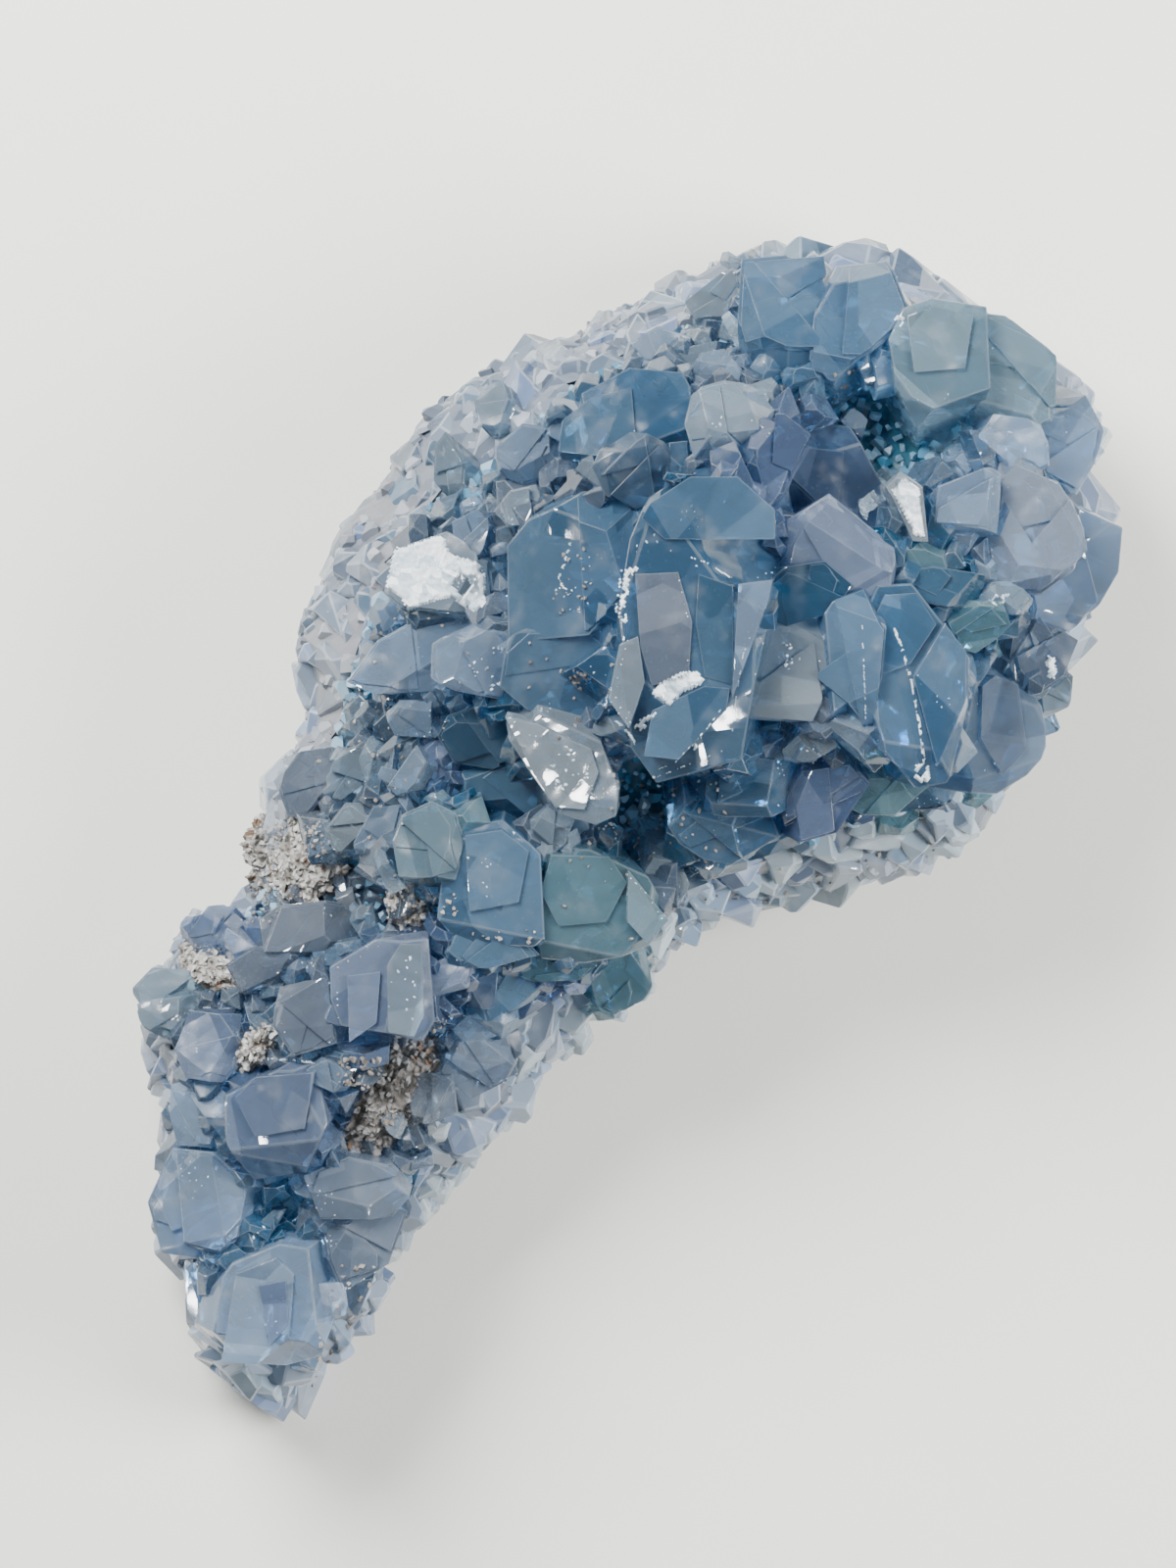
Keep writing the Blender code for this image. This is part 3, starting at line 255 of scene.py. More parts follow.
# Crystals that the photograph shows one by one: outline, how far the end face's middle stands over
# the ground, the end face (the way it looks in degrees, 0 right and 90 up in the photograph, and its
# slope), its other end faces (way, slope, and how far from the middle they start, in pixels), tint
CRYSTALS = {
    "great_prism": (pixels("618,722 645,560 662,521 700,496 745,495 785,530 783,592 746,766 664,790"),
        10.4, (245, 7), [(78, 27, 66), (352, 42, 58), (172, 38, 60), (232, 30, 92), (290, 24, 108)], "blue"),
    "twin_prism": (
        pixels("878,690 880,640 896,608 930,606 966,626 982,665 982,720 962,792 934,798 900,762"),
        9.5, (75, 5), [(178, 42, 40), (352, 30, 36), (262, 25, 66)], "blue"),
    "pale_flake": (pixels("507,735 512,715 600,740 612,755 628,800 625,828 605,838 570,830 545,795"),
        7.6, (215, 17), [(72, 48, 34), (10, 40, 42)], "clear"),
    "green_great": (pixels("536,925 545,888 562,868 622,870 650,885 684,940 662,966 600,982 545,976"),
        7.1, (285, 5), [(262, 40, 42), (62, 30, 52), (322, 34, 56)], "green"),
    "blue_block": (pixels("455,890 472,848 512,842 548,870 552,962 470,962 450,935"),
        6.3, (240, 7), [(95, 30, 42), (255, 34, 40)], "blue"),
    "lilac_clear_block": (pixels("342,988 385,962 434,956 440,1040 428,1062 345,1084"),
        7.5, (165, 6), [(350, 26, 6), (262, 30, 40)], "mauve"),
    "tail_great": (
        pixels("238,1296 282,1278 336,1285 344,1320 322,1386 285,1403 216,1400 192,1382 205,1340"),
        7.1, (105, 7), [(262, 34, 34), (320, 30, 44), (175, 30, 46)], "pale"),
    "tail_blue": (pixels("228,1125 262,1092 330,1085 334,1140 308,1195 255,1206 235,1165"),
        5.8, (160, 8), [(262, 26, 22), (40, 28, 40)], "mauve"),
    "ridge_block": (pixels("520,560 566,507 640,512 656,548 640,605 600,645 520,650"),
        7.5, (190, 12), [(85, 36, 38), (20, 30, 34)], "blue"),
    "dusty_plane": (pixels("560,636 622,630 624,690 604,736 540,722 514,700 522,655"),
        5.8, (268, 13), [(95, 28, 34)], "blue"),
    "upper_blue": (pixels("562,470 565,432 590,405 640,378 690,385 706,415 700,470 640,482"),
        6.3, (112, 13), [(290, 34, 30), (180, 34, 44)], "navy"),
    "dark_round": (pixels("608,484 616,458 642,445 674,452 692,480 680,510 645,520 618,506"),
        7.5, (300, 18), [(350, 42, 16), (120, 40, 22)], "slate"),
    "clear_crown": (pixels("697,432 702,405 735,394 770,398 783,414 764,462 732,478 708,470"),
        8.7, (70, 14), [(182, 46, 18), (285, 44, 16)], "clear"),
    "lilac_ridge": (pixels("748,508 756,460 776,430 804,428 824,446 800,492 782,516"),
        7.9, (330, 20), [(190, 34, 14)], "lilac"),
    "lilac_slab": (pixels("797,478 828,432 868,440 922,548 896,578 800,562"),
        5, (40, 24), [(232, 32, 20)], "dusk"),
    "lilac_foot": (pixels("786,590 790,545 846,512 906,562 906,602 852,627 800,618"),
        6.3, (245, 12), [(55, 42, 26)], "mauve"),
    "kite": (pixels("904,503 919,488 935,502 942,554 928,553"), 8.6, (225, 16), [], "frost"),
    "pocket_lip": (pixels("904,580 922,556 956,552 972,572 950,592 916,596"),
        5.8, (268, 20), [(85, 34, 10)], "green"),
    "top_rim_left": (pixels("754,330 758,264 838,255 844,300 832,382 766,374"),
        7.1, (85, 15), [(272, 40, 40), (178, 36, 30)], "sky"),
    "top_rim_right": (pixels("826,380 838,266 903,262 924,325 896,354 852,386"),
        6.7, (70, 14), [(262, 36, 42), (345, 38, 34)], "sky"),
    "green_rim_left": (pixels("908,352 922,322 950,312 1002,320 1004,430 978,476 948,452 914,395"),
        7.5, (75, 12), [(208, 44, 34), (268, 38, 58)], "mint"),
    "green_rim_right": (pixels("984,322 1035,324 1080,360 1081,416 1050,434 985,424"),
        7.1, (50, 14), [(262, 36, 38), (350, 36, 34)], "mint"),
    "pale_lilac_inner": (pixels("1000,480 1002,446 1018,424 1062,434 1062,478 1036,490"),
        7.5, (120, 12), [(258, 36, 20)], "pale"),
    "pale_lilac_outer": (pixels("1056,478 1058,426 1120,413 1130,445 1118,474 1094,502"),
        6.7, (25, 14), [(345, 40, 22)], "pale"),
    "pale_cube": (pixels("953,536 957,500 966,483 1000,478 1017,486 1015,542"),
        7.9, (165, 9), [(330, 30, 22)], "pale"),
    "right_blue_upper": (pixels("1002,562 1013,500 1036,478 1078,497 1100,522 1100,565 1062,604 1018,602"),
        7.9, (150, 8), [(40, 36, 34), (250, 30, 40)], "haze"),
    "right_blue_outer": (pixels("1040,592 1082,520 1146,547 1144,590 1118,628 1100,652 1052,632"),
        7.5, (345, 13), [(110, 26, 26), (280, 34, 36)], "pale"),
    "sparkle_tip": (pixels("997,614 1010,598 1036,596 1052,616 1044,630 1010,628"),
        8.3, (60, 26), [(225, 34, 4)], "clear"),
    "green_clear": (pixels("958,628 974,614 1016,618 1026,640 1000,668 974,662"),
        7.5, (300, 14), [(120, 38, 14)], "green"),
    "dark_lilac": (pixels("1018,668 1024,640 1050,628 1110,656 1098,692 1062,710 1034,692"),
        5.8, (330, 24), [(150, 24, 18)], "grey"),
    "right_oval": (
        pixels("978,738 986,700 1012,682 1038,690 1064,716 1068,762 1058,790 1034,808 1000,806 984,772"),
        7.5, (330, 8), [(168, 34, 36), (290, 32, 46)], "pale"),
    "rim_clear": (pixels("1060,702 1080,690 1098,694 1095,722 1068,740"),
        5.4, (0, 16), [(110, 34, 8)], "clear"),
    "twin_left": (pixels("832,702 836,640 850,616 880,606 896,640 888,742 846,748"),
        7.9, (185, 15), [(95, 30, 46), (270, 30, 48)], "sky"),
    "twin_right": (pixels("950,790 962,652 986,654 1003,688 986,738 976,786"),
        7.9, (350, 20), [(80, 34, 48)], "sky"),
    "middle_lilac": (pixels("750,732 752,690 766,640 800,622 840,640 840,702 826,738"),
        6.3, (115, 8), [(268, 30, 40)], "frost"),
    "middle_dark": (pixels("776,632 786,585 836,578 862,600 844,628 800,642"), 5.8, (250, 14), [], "deep"),
    # twin_shade: its deep tint is painted shade, the shade beside the twin prism
    "twin_shade": (pixels("900,606 904,588 950,582 1002,590 1002,614 962,622"), 6.7, (85, 18), [], "deep"),
    "green_foot": (pixels("850,802 880,776 952,792 976,764 1002,802 998,832 940,840 880,838 852,822"),
        6.3, (270, 22), [(95, 20, 14)], "green"),
    "lilac_wedge": (pixels("796,832 818,782 864,778 882,802 852,852 804,864"),
        7.5, (300, 16), [(170, 40, 22)], "lilac"),
    "blue_roof": (pixels("698,824 716,798 760,778 820,783 800,832 740,834"),
        7.9, (100, 14), [(262, 34, 12)], "blue"),
    "blue_lens": (pixels("686,848 702,826 746,810 798,832 804,862 770,884 720,880 696,864"),
        7.5, (235, 12), [(85, 24, 10), (285, 34, 30)], "blue"),
    "white_chip": (pixels("798,768 815,748 842,742 852,760 826,780 800,778"), 7.1, (235, 16), [], "clear"),
    "small_chip": (pixels("752,774 768,761 790,768 786,781 762,784"), 6.7, (270, 14), [], "clear"),
    "clear_chip": (pixels("543,838 560,824 586,836 576,856 560,864 545,852"),
        5.8, (250, 20), [(60, 30, 6)], "clear"),
    "striated_dark": (pixels("450,752 460,732 500,718 522,736 534,770 500,784 464,778"),
        4.6, (262, 16), [(90, 26, 14)], "deep"),
    "dark_teal": (pixels("464,806 476,788 520,780 548,786 562,815 540,842 490,844 470,828"),
        4.2, (290, 10), [(110, 26, 24)], "deep"),
    "pale_round": (pixels("404,858 411,834 440,821 464,832 473,862 462,896 438,906 411,892"),
        7.1, (105, 8), [(350, 30, 20), (262, 34, 30)], "mint"),
    "hex_rim": (pixels("600,988 612,968 662,964 668,1020 633,1039 604,1024"),
        5.4, (292, 12), [(150, 34, 20), (20, 40, 26)], "green"),
    "specked_facet": (pixels("656,872 690,874 701,900 694,928 672,926 660,905"),
        6.7, (240, 20), [], "clear"),
    "brown_facet": (pixels("634,882 664,859 696,862 718,880 722,902 700,910 655,900"),
        5.4, (90, 10), [(290, 30, 14)], "deep"),
    "lower_left_blade": (pixels("436,988 468,972 492,985 480,1006 438,1016"),
        5.8, (120, 12), [(290, 30, 10)], "mauve"),
    "lower_blue": (pixels("468,1024 482,996 530,980 562,992 546,1022 502,1042"),
        5.4, (290, 14), [(100, 30, 14)], "blue"),
    "lower_right_blade": (pixels("545,1022 552,1000 602,988 592,1006 566,1024"),
        5, (300, 16), [], "lilac"),
    "lower_step": (pixels("458,972 466,950 522,948 548,974 500,988 462,984"), 6.7, (275, 10), [], "blue"),
    "green_lip": (pixels("518,984 560,968 606,984 592,1002 552,1004 526,996"),
        6.7, (275, 20), [], "green"),
    "shoulder_end": (pixels("440,692 440,660 480,640 514,650 524,682 508,713 464,704"),
        6.7, (330, 16), [(170, 26, 12), (262, 36, 24)], "pale"),
    "shoulder_lump": (pixels("358,694 386,655 440,625 482,618 486,655 446,702 390,706"),
        5, (130, 10), [(300, 28, 16)], "pale"),
    "flashing_block": (pixels("392,602 400,560 455,546 498,574 498,624 468,628 410,618"),
        6.3, (150, 14), [(330, 24, 26)], "clear"),
    "striated_small": (pixels("504,522 520,504 546,499 559,520 546,540 520,539"),
        7.1, (150, 12), [(330, 34, 10)], "clear"),
    "shoulder_small": (pixels("462,534 496,521 505,546 490,568 464,562"), 5.8, (200, 12), [], "pale"),
    "upper_left_wedge": (pixels("504,458 530,434 563,440 566,480 530,492 507,482"),
        5.4, (120, 14), [(300, 30, 12)], "pale"),
    "white_triangle": (pixels("573,502 600,466 613,488 620,509"), 7.1, (200, 22), [], "clear"),
    "left_step": (pixels("394,728 408,716 440,716 463,734 442,752 404,750"),
        4.6, (270, 12), [(80, 26, 8)], "pale"),
    "left_round": (pixels("384,792 395,768 426,760 442,785 433,804 404,812"),
        5.4, (150, 12), [(330, 34, 14)], "pale"),
    "left_lilac": (pixels("428,770 442,750 464,762 470,792 446,802"), 3.8, (350, 12), [], "lilac"),
    "left_pale": (pixels("332,846 352,820 382,822 366,862 344,870"), 4.6, (140, 12), [], "clear"),
    "left_blue": (pixels("362,862 380,824 412,820 406,852 394,872 364,872"),
        5, (110, 12), [(290, 30, 16)], "pale"),
    "flank_grey": (pixels("270,792 294,764 344,764 352,800 326,836 290,828"),
        3.4, (165, 22), [(330, 30, 20)], "grey"),
    "flank_ridge": (pixels("336,812 344,768 366,756 374,792 352,818"), 4.2, (20, 22), [], "clear"),
    "blade": (pixels("381,870 389,865 412,904 398,911"), 7.1, (320, 16), [], "clear"),
    "flank_blade_long": (pixels("438,450 450,438 476,470 480,504 460,513 440,486"),
        3.4, (160, 24), [], "clear"),
    "flank_blade_high": (pixels("478,402 504,379 523,410 516,442 490,432"), 3.4, (150, 24), [], "clear"),
    "flank_top": (pixels("640,352 668,332 702,346 700,374 656,382"),
        4.2, (110, 16), [(290, 30, 10)], "pale"),
    "flank_corner": (pixels("700,306 742,262 757,300 742,330 712,330"), 3.8, (105, 20), [], "clear"),
    "tail_head_wedge": (pixels("238,958 282,924 346,918 354,950 330,972 262,988"),
        5, (110, 12), [(290, 26, 12)], "grey"),
    "tail_head_lilac": (pixels("186,950 206,921 238,924 250,950 226,968 190,966"),
        4.2, (140, 16), [], "mauve"),
    "tail_corner_high": (pixels("127,1004 150,984 196,998 192,1018 140,1024"),
        3.8, (150, 16), [], "clear"),
    "tail_corner_low": (pixels("130,1026 190,1018 188,1052 152,1060 136,1048"),
        3.4, (190, 16), [], "clear"),
    "tail_grey": (pixels("282,1046 284,1006 334,996 342,1062 302,1074"), 4.6, (60, 10), [], "grey"),
    "tail_step": (pixels("232,984 262,968 310,974 284,1004 244,1010"), 4.2, (250, 14), [], "grey"),
    "tail_left_high": (pixels("178,1070 192,1034 236,1038 248,1076 226,1102 186,1098"),
        4.6, (150, 14), [(330, 26, 16)], "mauve"),
    "tail_left_mid": (pixels("166,1112 216,1098 228,1142 216,1168 172,1168"), 4.2, (170, 14), [], "pale"),
    "tail_left_pale": (pixels("148,1228 168,1176 216,1180 246,1215 242,1262 214,1284 164,1276"),
        5.4, (165, 12), [(20, 26, 24), (262, 30, 36)], "pale"),
    "tail_left_low": (pixels("182,1302 214,1282 224,1330 196,1357 182,1342"), 3.8, (185, 16), [], "pale"),
    "tail_right_high": (pixels("313,1200 358,1184 402,1194 424,1218 402,1244 332,1244"),
        5.4, (60, 10), [(262, 24, 14)], "haze"),
    "tail_right_low": (pixels("334,1242 382,1230 414,1240 398,1292 352,1318 336,1284"),
        5.4, (320, 14), [(150, 28, 20)], "haze"),
    "pocket_blade": (pixels("230,1292 242,1268 276,1238 292,1234 262,1282"), 3.4, (130, 18), [], "deep"),
    "tail_edge_clear": (pixels("416,1112 430,1098 462,1098 468,1138 426,1148"),
        4.2, (130, 12), [(320, 30, 12)], "haze"),
    "tail_edge_blue": (pixels("452,1092 462,1060 522,1058 532,1098 484,1122"), 4.2, (300, 14), [], "haze"),
}

# Remains of host rock: middle and half sizes in the photograph, turn in degrees, bulge over the ground
MARL_PATCHES = {
    "marl_shoulder": dict(middle=(298, 874), half=(46, 50), turn=70, bulge=3.0),
    "marl_tail_middle": dict(middle=(400, 1118), half=(66, 36), turn=56, bulge=3.6),
    "marl_tail_left": dict(middle=(262, 1068), half=(30, 15), turn=50, bulge=4.2),
    "marl_tail_corner": dict(middle=(214, 990), half=(36, 18), turn=-28, bulge=4.0),
    "marl_under_pale": dict(middle=(418, 926), half=(28, 20), turn=-60, bulge=5.0),
}

# Plates of growth on the end faces of some crystals: outline, how far they stand over the face, tint
PLATES = {
    "great_prism": [
        (pixels("640,556 662,519 700,494 747,494 785,528 784,596 752,600 700,578 676,556"), 0.75, "blue"),
        (pixels("648,590 690,588 704,640 700,690 664,702 652,660"), 0.3, "grey"),
        (pixels("700,586 745,602 744,700 704,690 708,640"), 0.12, "deep"),
        (pixels("665,726 716,702 742,704 738,726 690,776 656,772"), 0.35, "blue"),
        (pixels("620,714 632,660 650,652 656,700 640,744"), 0.45, "clear"),
        (pixels("752,600 784,596 746,764 728,758 744,716"), 0.55, "pale"),
    ],
    "twin_prism": [
        (pixels("884,640 900,610 930,608 950,640 922,680 896,690"), 0.3, "blue"),
        (pixels("928,690 960,640 980,668 978,720 950,780"), 0.42, "blue"),
    ],
    "pale_flake": [
        (pixels("512,722 560,742 598,748 610,790 596,826 568,826 544,788"), 0.35, "frost"),
    ],
    "green_great": [
        (pixels("562,872 622,874 640,900 620,940 570,944 552,910"), 0.3, "green"),
        (pixels("640,886 682,938 660,962 640,940"), 0.55, "mint"),
    ],
    "blue_block": [
        (pixels("476,852 512,846 540,868 530,920 480,930"), 0.3, "sky"),
    ],
    "lilac_clear_block": [
        (pixels("356,994 390,990 386,1042 358,1062"), 0.35, "mauve"),
        (pixels("396,984 410,962 432,962 434,1034 424,1056 398,1052"), 0.55, "clear"),
    ],
    "tail_great": [
        (pixels("240,1300 282,1284 300,1300 296,1366 262,1392 226,1390"), 0.35, "pale"),
        (pixels("262,1312 292,1306 296,1350 276,1372"), 0.5, "mauve"),
    ],
    "tail_blue": [
        (pixels("240,1120 262,1098 322,1092 312,1150 262,1160"), 0.35, "mauve"),
    ],
    "right_oval": [
        (pixels("996,704 1014,690 1036,698 1050,760 1020,790 998,760"), 0.35, "haze"),
    ],
    "green_rim_left": [
        (pixels("924,326 950,316 990,326 980,380 930,384"), 0.4, "mint"),
    ],
    "upper_blue": [
        (pixels("570,462 572,434 600,410 644,400 650,450 620,470"), 0.3, "blue"),
    ],
}

# White places: crushed and fractured crystal, and where a facet flashes, as at flashing_block, sparkle and
# rim_glint, a painted highlight as well: outline, share of it that is white
FRACTURES = {
    "flashing_block": (pixels("403,558 434,551 446,545 457,551 460,566 478,571 493,577 497,589 498,618 "
                               "487,627 472,621 463,612 446,616 417,626 409,612 392,600 395,574"), 1.2),
    "great_edge": (pixels("632,584 647,580 652,584 643,593 641,610 "
                           "638,623 642,640 635,640 626,625 628,610"), 0.8),
    "great_patch": (pixels("663,708 672,697 695,686 708,686 718,694 "
                            "715,701 695,710 682,723 667,716"), 1.2),
    "great_second": (pixels("643,745 652,734 669,725 669,732 659,744 648,751"), 0.8),
    "great_spot": (pixels("702,760 708,758 712,763 706,768"), 0.95),
    "great_ring": (pixels("643,578 644,560 658,548 676,552 688,560 700,572 716,580 "
                           "712,588 694,584 682,568 664,560 654,566 652,580"), 0.5),
    "ridge_crushed": (pixels("558,600 579,593 604,612 600,626 579,636 576,615"), 0.5),
    "oval_white": (pixels("487,658 512,652 521,667 521,688 507,711 493,702 480,696 478,681"), 0.5),
    "flake_lower": (pixels("556,764 590,760 604,782 614,806 600,826 578,824 562,800"), 0.5),
    "flake_upper": (pixels("510,724 528,728 540,748 528,748 514,738"), 0.5),
    "striated_top": (pixels("514,524 520,516 534,520 533,537 520,538"), 0.6),
    "clear_ragged": (pixels("400,987 410,968 428,970 431,995 430,1030 422,1052 402,1048 396,1023"), 0.42),
    "middle_patch": (pixels("794,657 801,650 811,658 817,680 812,708 803,712 795,700 790,680"), 0.42),
    "kite_face": (pixels("905,504 919,490 934,503 940,552 928,551"), 1.2),
    "lilac_kite": (pixels("1063,672 1070,666 1078,676 1076,694 1066,693"), 0.8),
    "chip_low": (pixels("808,764 820,754 838,749 843,758 824,772"), 0.5),
    "crown_bright": (pixels("716,424 728,418 738,430 734,446 722,442"), 0.6),
    "vein_foot": (pixels("928,780 942,778 946,795 936,802 926,794"), 0.8),
    "tip_white": (pixels("320,1397 340,1394 345,1408 328,1412"), 0.8),
    "tail_facet": (pixels("528,1038 544,1035 546,1055 532,1058"), 0.6),
    "left_facet": (pixels("194,1066 206,1062 210,1080 200,1082"), 0.6),
    "left_triangle": (pixels("225,1115 238,1125 227,1130"), 0.9),
    # sparkle and rim_glint: white crust laid where these facets flash, a painted highlight
    "sparkle": (pixels("1002,616 1012,606 1028,606 1022,617 1010,622"), 0.7),
    "rim_glint": (pixels("908,328 917,322 923,332 914,341"), 0.7),
    "tail_stripes": (pixels("244,1270 262,1248 284,1236 280,1250 258,1278"), 0.5),
}

# A dark hole in the flashing block
DIAMOND_PIT = pixels("472,587 482,598 473,610 464,598")

# Growth lines, and bright edges laid as white bands, which are painted highlights: path, width in pixels
GROWTH_LINES = [
    (pixels("623,703 617,721 628,736 641,749 652,766"), 3.6),
    (pixels("640,655 629,696 631,726 645,741"), 1.5),
    (pixels("645,656 634,696 637,724 650,737"), 1.3),
    (pixels("702,573 717,578 734,588 750,597"), 2.0),
    (pixels("691,595 698,628 704,645 699,682"), 1.5),
    (pixels("762,653 755,671 748,716 744,752"), 1.8),
    (pixels("734,725 717,747 687,779 665,787"), 2.0),
    (pixels("656,798 674,791 704,779 739,765"), 1.8),
    (pixels("906,640 914,660 925,696 933,740 938,782"), 4.0),
    (pixels("875,640 877,690 879,735"), 2.0),
    (pixels("578,543 582,558 576,578 570,594 578,606"), 3.6),
    (pixels("590,566 600,590 606,602"), 1.4),
    (pixels("179,1043 189,1033 214,1028"), 2.6),
    (pixels("273,1080 300,1081 332,1085"), 3.2),
    (pixels("345,992 348,1064"), 1.5),
    (pixels("351,990 354,1062"), 1.3),
    (pixels("240,1300 270,1290 300,1296"), 1.4),
    (pixels("636,888 660,912 676,938"), 1.5),
    (pixels("474,742 504,740"), 1.3),
    (pixels("472,749 504,747"), 1.3),
    (pixels("700,834 730,842 768,838"), 1.3),
    (pixels("764,434 780,444 792,462"), 1.4),
]
LINE_SHARE = 0.62

# Grit and dust: outline, how thickly it lies, size
GRIT = [
    (pixels("262,850 280,835 330,835 345,870 335,905 300,930 255,925 240,900"), 1.0, 1.2),
    (pixels("380,905 400,880 430,905 470,905 470,940 430,945 395,945"), 0.7, 1.1),
    (pixels("337,1082 400,1069 436,1056 454,1023 464,1018 459,1043 439,1079 413,1105 408,1148 375,1161 "
             "347,1145 365,1117 344,1104"), 1.0, 1.4),
    (pixels("181,962 227,965 236,1000 215,1010 190,1000"), 1.0, 1.1),
    (pixels("242,928 286,922 292,940 250,948"), 0.8, 1.0),
    (pixels("337,981 365,966 388,946 400,938 404,950 380,974 345,990"), 0.9, 1.1),
    (pixels("240,1050 275,1040 280,1075 245,1086"), 0.8, 1.1),
    (pixels("600,770 745,770 745,880 600,880"), 0.16, 1.0),
    (pixels("578,668 602,668 602,722 578,722"), 0.5, 1.2),
    (pixels("516,698 562,698 562,716 516,716"), 0.3, 1.0),
    (pixels("533,938 549,938 549,966 533,966"), 0.7, 1.0),
    (pixels("478,949 516,949 516,961 478,961"), 0.7, 1.2),
    (pixels("566,545 600,545 606,635 560,632"), 0.2, 1.0),
    (pixels("850,376 890,376 890,400 850,400"), 0.3, 1.2),
    (pixels("560,840 690,840 690,985 560,985"), 0.05, 0.8),
    (pixels("380,620 640,620 640,760 380,760"), 0.05, 0.8),
    (pixels("345,1290 400,1290 330,1410 300,1440"), 0.3, 1.3),
    (pixels("700,900 980,850 1000,880 720,950"), 0.08, 1.0),
    (pixels("290,760 420,700 420,860 300,860"), 0.1, 1.0),
]


# Plan and ground

def plan(px, py):
    """The place on the specimen's plan of a pixel of the photograph."""
    turn = math.radians(LONG_AXIS_DEGREES)
    right = (px - PHOTO_MIDDLE[0]) * MM_PER_PIXEL
    up = (PHOTO_MIDDLE[1] - py) * MM_PER_PIXEL
    return (right * math.cos(turn) + up * math.sin(turn),
            -right * math.sin(turn) + up * math.cos(turn))


def heading(degrees):
    """The direction on the plan of a direction in the photograph."""
    turn = math.radians(degrees - LONG_AXIS_DEGREES)
    return Vector((math.cos(turn), math.sin(turn), 0.0))


def facing(direction, slope):
    """The outward direction of a face that looks a way in the photograph, at a slope."""
    tilt = math.radians(slope)
    return (heading(direction) * math.sin(tilt) + Vector((0, 0, math.cos(tilt)))).normalized()


def inside(point, outline):
    """Whether a point lies within an outline."""
    x, y = point
    within = False
    for (x0, y0), (x1, y1) in zip(outline, outline[1:] + outline[:1]):
        if (y0 > y) != (y1 > y) and x < x0 + (x1 - x0) * (y - y0) / (y1 - y0):
            within = not within
    return within


def crossings(outline, x):
    """The lowest and highest Y where a line across the specimen meets an outline."""
    found = []
    for (x0, y0), (x1, y1) in zip(outline, outline[1:] + outline[:1]):
        if (x0 - x) * (x1 - x) < 0.0:
            found.append(y0 + (y1 - y0) * (x - x0) / (x1 - x0))
    return min(found), max(found)


class Ground:
    """The form under the crystals, from which every piece takes its height."""

    def __init__(self):
        self.outline = [plan(px, py) for px, py in OUTLINE]
        self.field = [plan(px, py) for px, py in CRYSTAL_FIELD]
        self.low_x = min(x for x, y in self.outline) + RIM_INSET
        self.high_x = max(x for x, y in self.outline) - RIM_INSET
        self.field_low_x = min(x for x, y in self.field)
        self.field_high_x = max(x for x, y in self.field)

    def section(self, x):
        low, high = crossings(self.outline, x)
        return (low + high) / 2.0, max((high - low) / 2.0 - RIM_INSET, 1.0)

    def levels(self, x):
        """Underside, left and right widest lines and top at a place along the specimen."""
        share = min(max((x - self.low_x) / (self.high_x - self.low_x), 0.0), 1.0)
        for before, after in zip(PROFILE, PROFILE[1:]):
            if share <= after[0]:
                break
        part = (share - before[0]) / (after[0] - before[0])
        part = part * part * (3.0 - 2.0 * part)
        return [a + (b - a) * part for a, b in zip(before[1:], after[1:])]

    def in_field(self, point):
        return inside((point.x, point.y), self.field)

    def pocket(self, x, y):
        depth = 0.0
        for place, reach, drop in POCKETS:
            px, py = plan(*place)
            away = math.hypot(x - px, y - py) / (reach * MM_PER_PIXEL)
            depth = max(depth, drop * math.exp(-away * away))
        return depth

    def top(self, x, y):
        x = min(max(x, self.low_x + 0.5), self.high_x - 0.5)
        middle, half = self.section(x)
        _, left, right, crest = self.levels(x)
        across = min(max((y - middle) / half, -DOME_EDGE), DOME_EDGE)
        rim = right + (left - right) * (across + 1.0) / 2.0
        return rim + (crest - rim) * (1.0 - abs(across) ** DOME_POWER) ** (1.0 / DOME_POWER)

    def bed(self, x, y):
        """Height of the ground that the crystals grow from."""
        return self.top(x, y) - self.pocket(x, y)

    def upright(self, x, y):
        """The way a crystal grows out of the ground."""
        step = 1.0
        slope_x = (self.top(x + step, y) - self.top(x - step, y)) / (2.0 * step)
        slope_y = (self.top(x, y + step) - self.top(x, y - step)) / (2.0 * step)
        return Vector((-slope_x * SPREAD, -slope_y * SPREAD, 1.0)).normalized()

    def around(self, x, turn):
        """A point of the skin, from its place along the specimen and around the section."""
        middle, half = self.section(x)
        under, left, right, crest = self.levels(x)
        across, lift = math.cos(turn), math.sin(turn)
        rim = right + (left - right) * (across + 1.0) / 2.0
        reach = (crest - rim) if lift >= 0.0 else (rim - under)
        power = 2.0 / DOME_POWER
        return Vector((x, middle + half * math.copysign(abs(across) ** power, across),
                       rim + reach * math.copysign(abs(lift) ** power, lift)))


# Meshes

def meshed(name, bm):
    """The mesh of a form under construction, which ends here."""
    mesh = bpy.data.meshes.new(name)
    bm.to_mesh(mesh)
    bm.free()
    return mesh


def finished(name, bm):
    """A closed mesh in metres, faces pointing out."""
    bmesh.ops.recalc_face_normals(bm, faces=bm.faces[:])
    bmesh.ops.scale(bm, vec=(METRES,) * 3, verts=bm.verts[:])
    return meshed(name, bm)


def vertex_layers(bm, *names):
    """Layers for a number on each vertex, which the scatter or the paint reads."""
    return [bm.verts.layers.float.new(name) for name in names]


def middle_of(outline):
    """The middle, on the plan, of an outline in the photograph."""
    return plan(sum(px for px, py in outline) / len(outline), sum(py for px, py in outline) / len(outline))


def side_planes(drawn, axis, middle, rims):
    """The faces of a crystal that stand on its outline and lean with its axis."""
    planes = []
    for (x0, y0), (x1, y1), height in zip(drawn, drawn[1:] + drawn[:1], rims):
        side = Vector((x1 - x0, y1 - y0, 0.0)).cross(axis).normalized()
        rim = Vector((x0, y0, height))
        if side.dot(middle - rim) > 0.0:
            side.negate()
        planes.append((side, rim))
    return planes


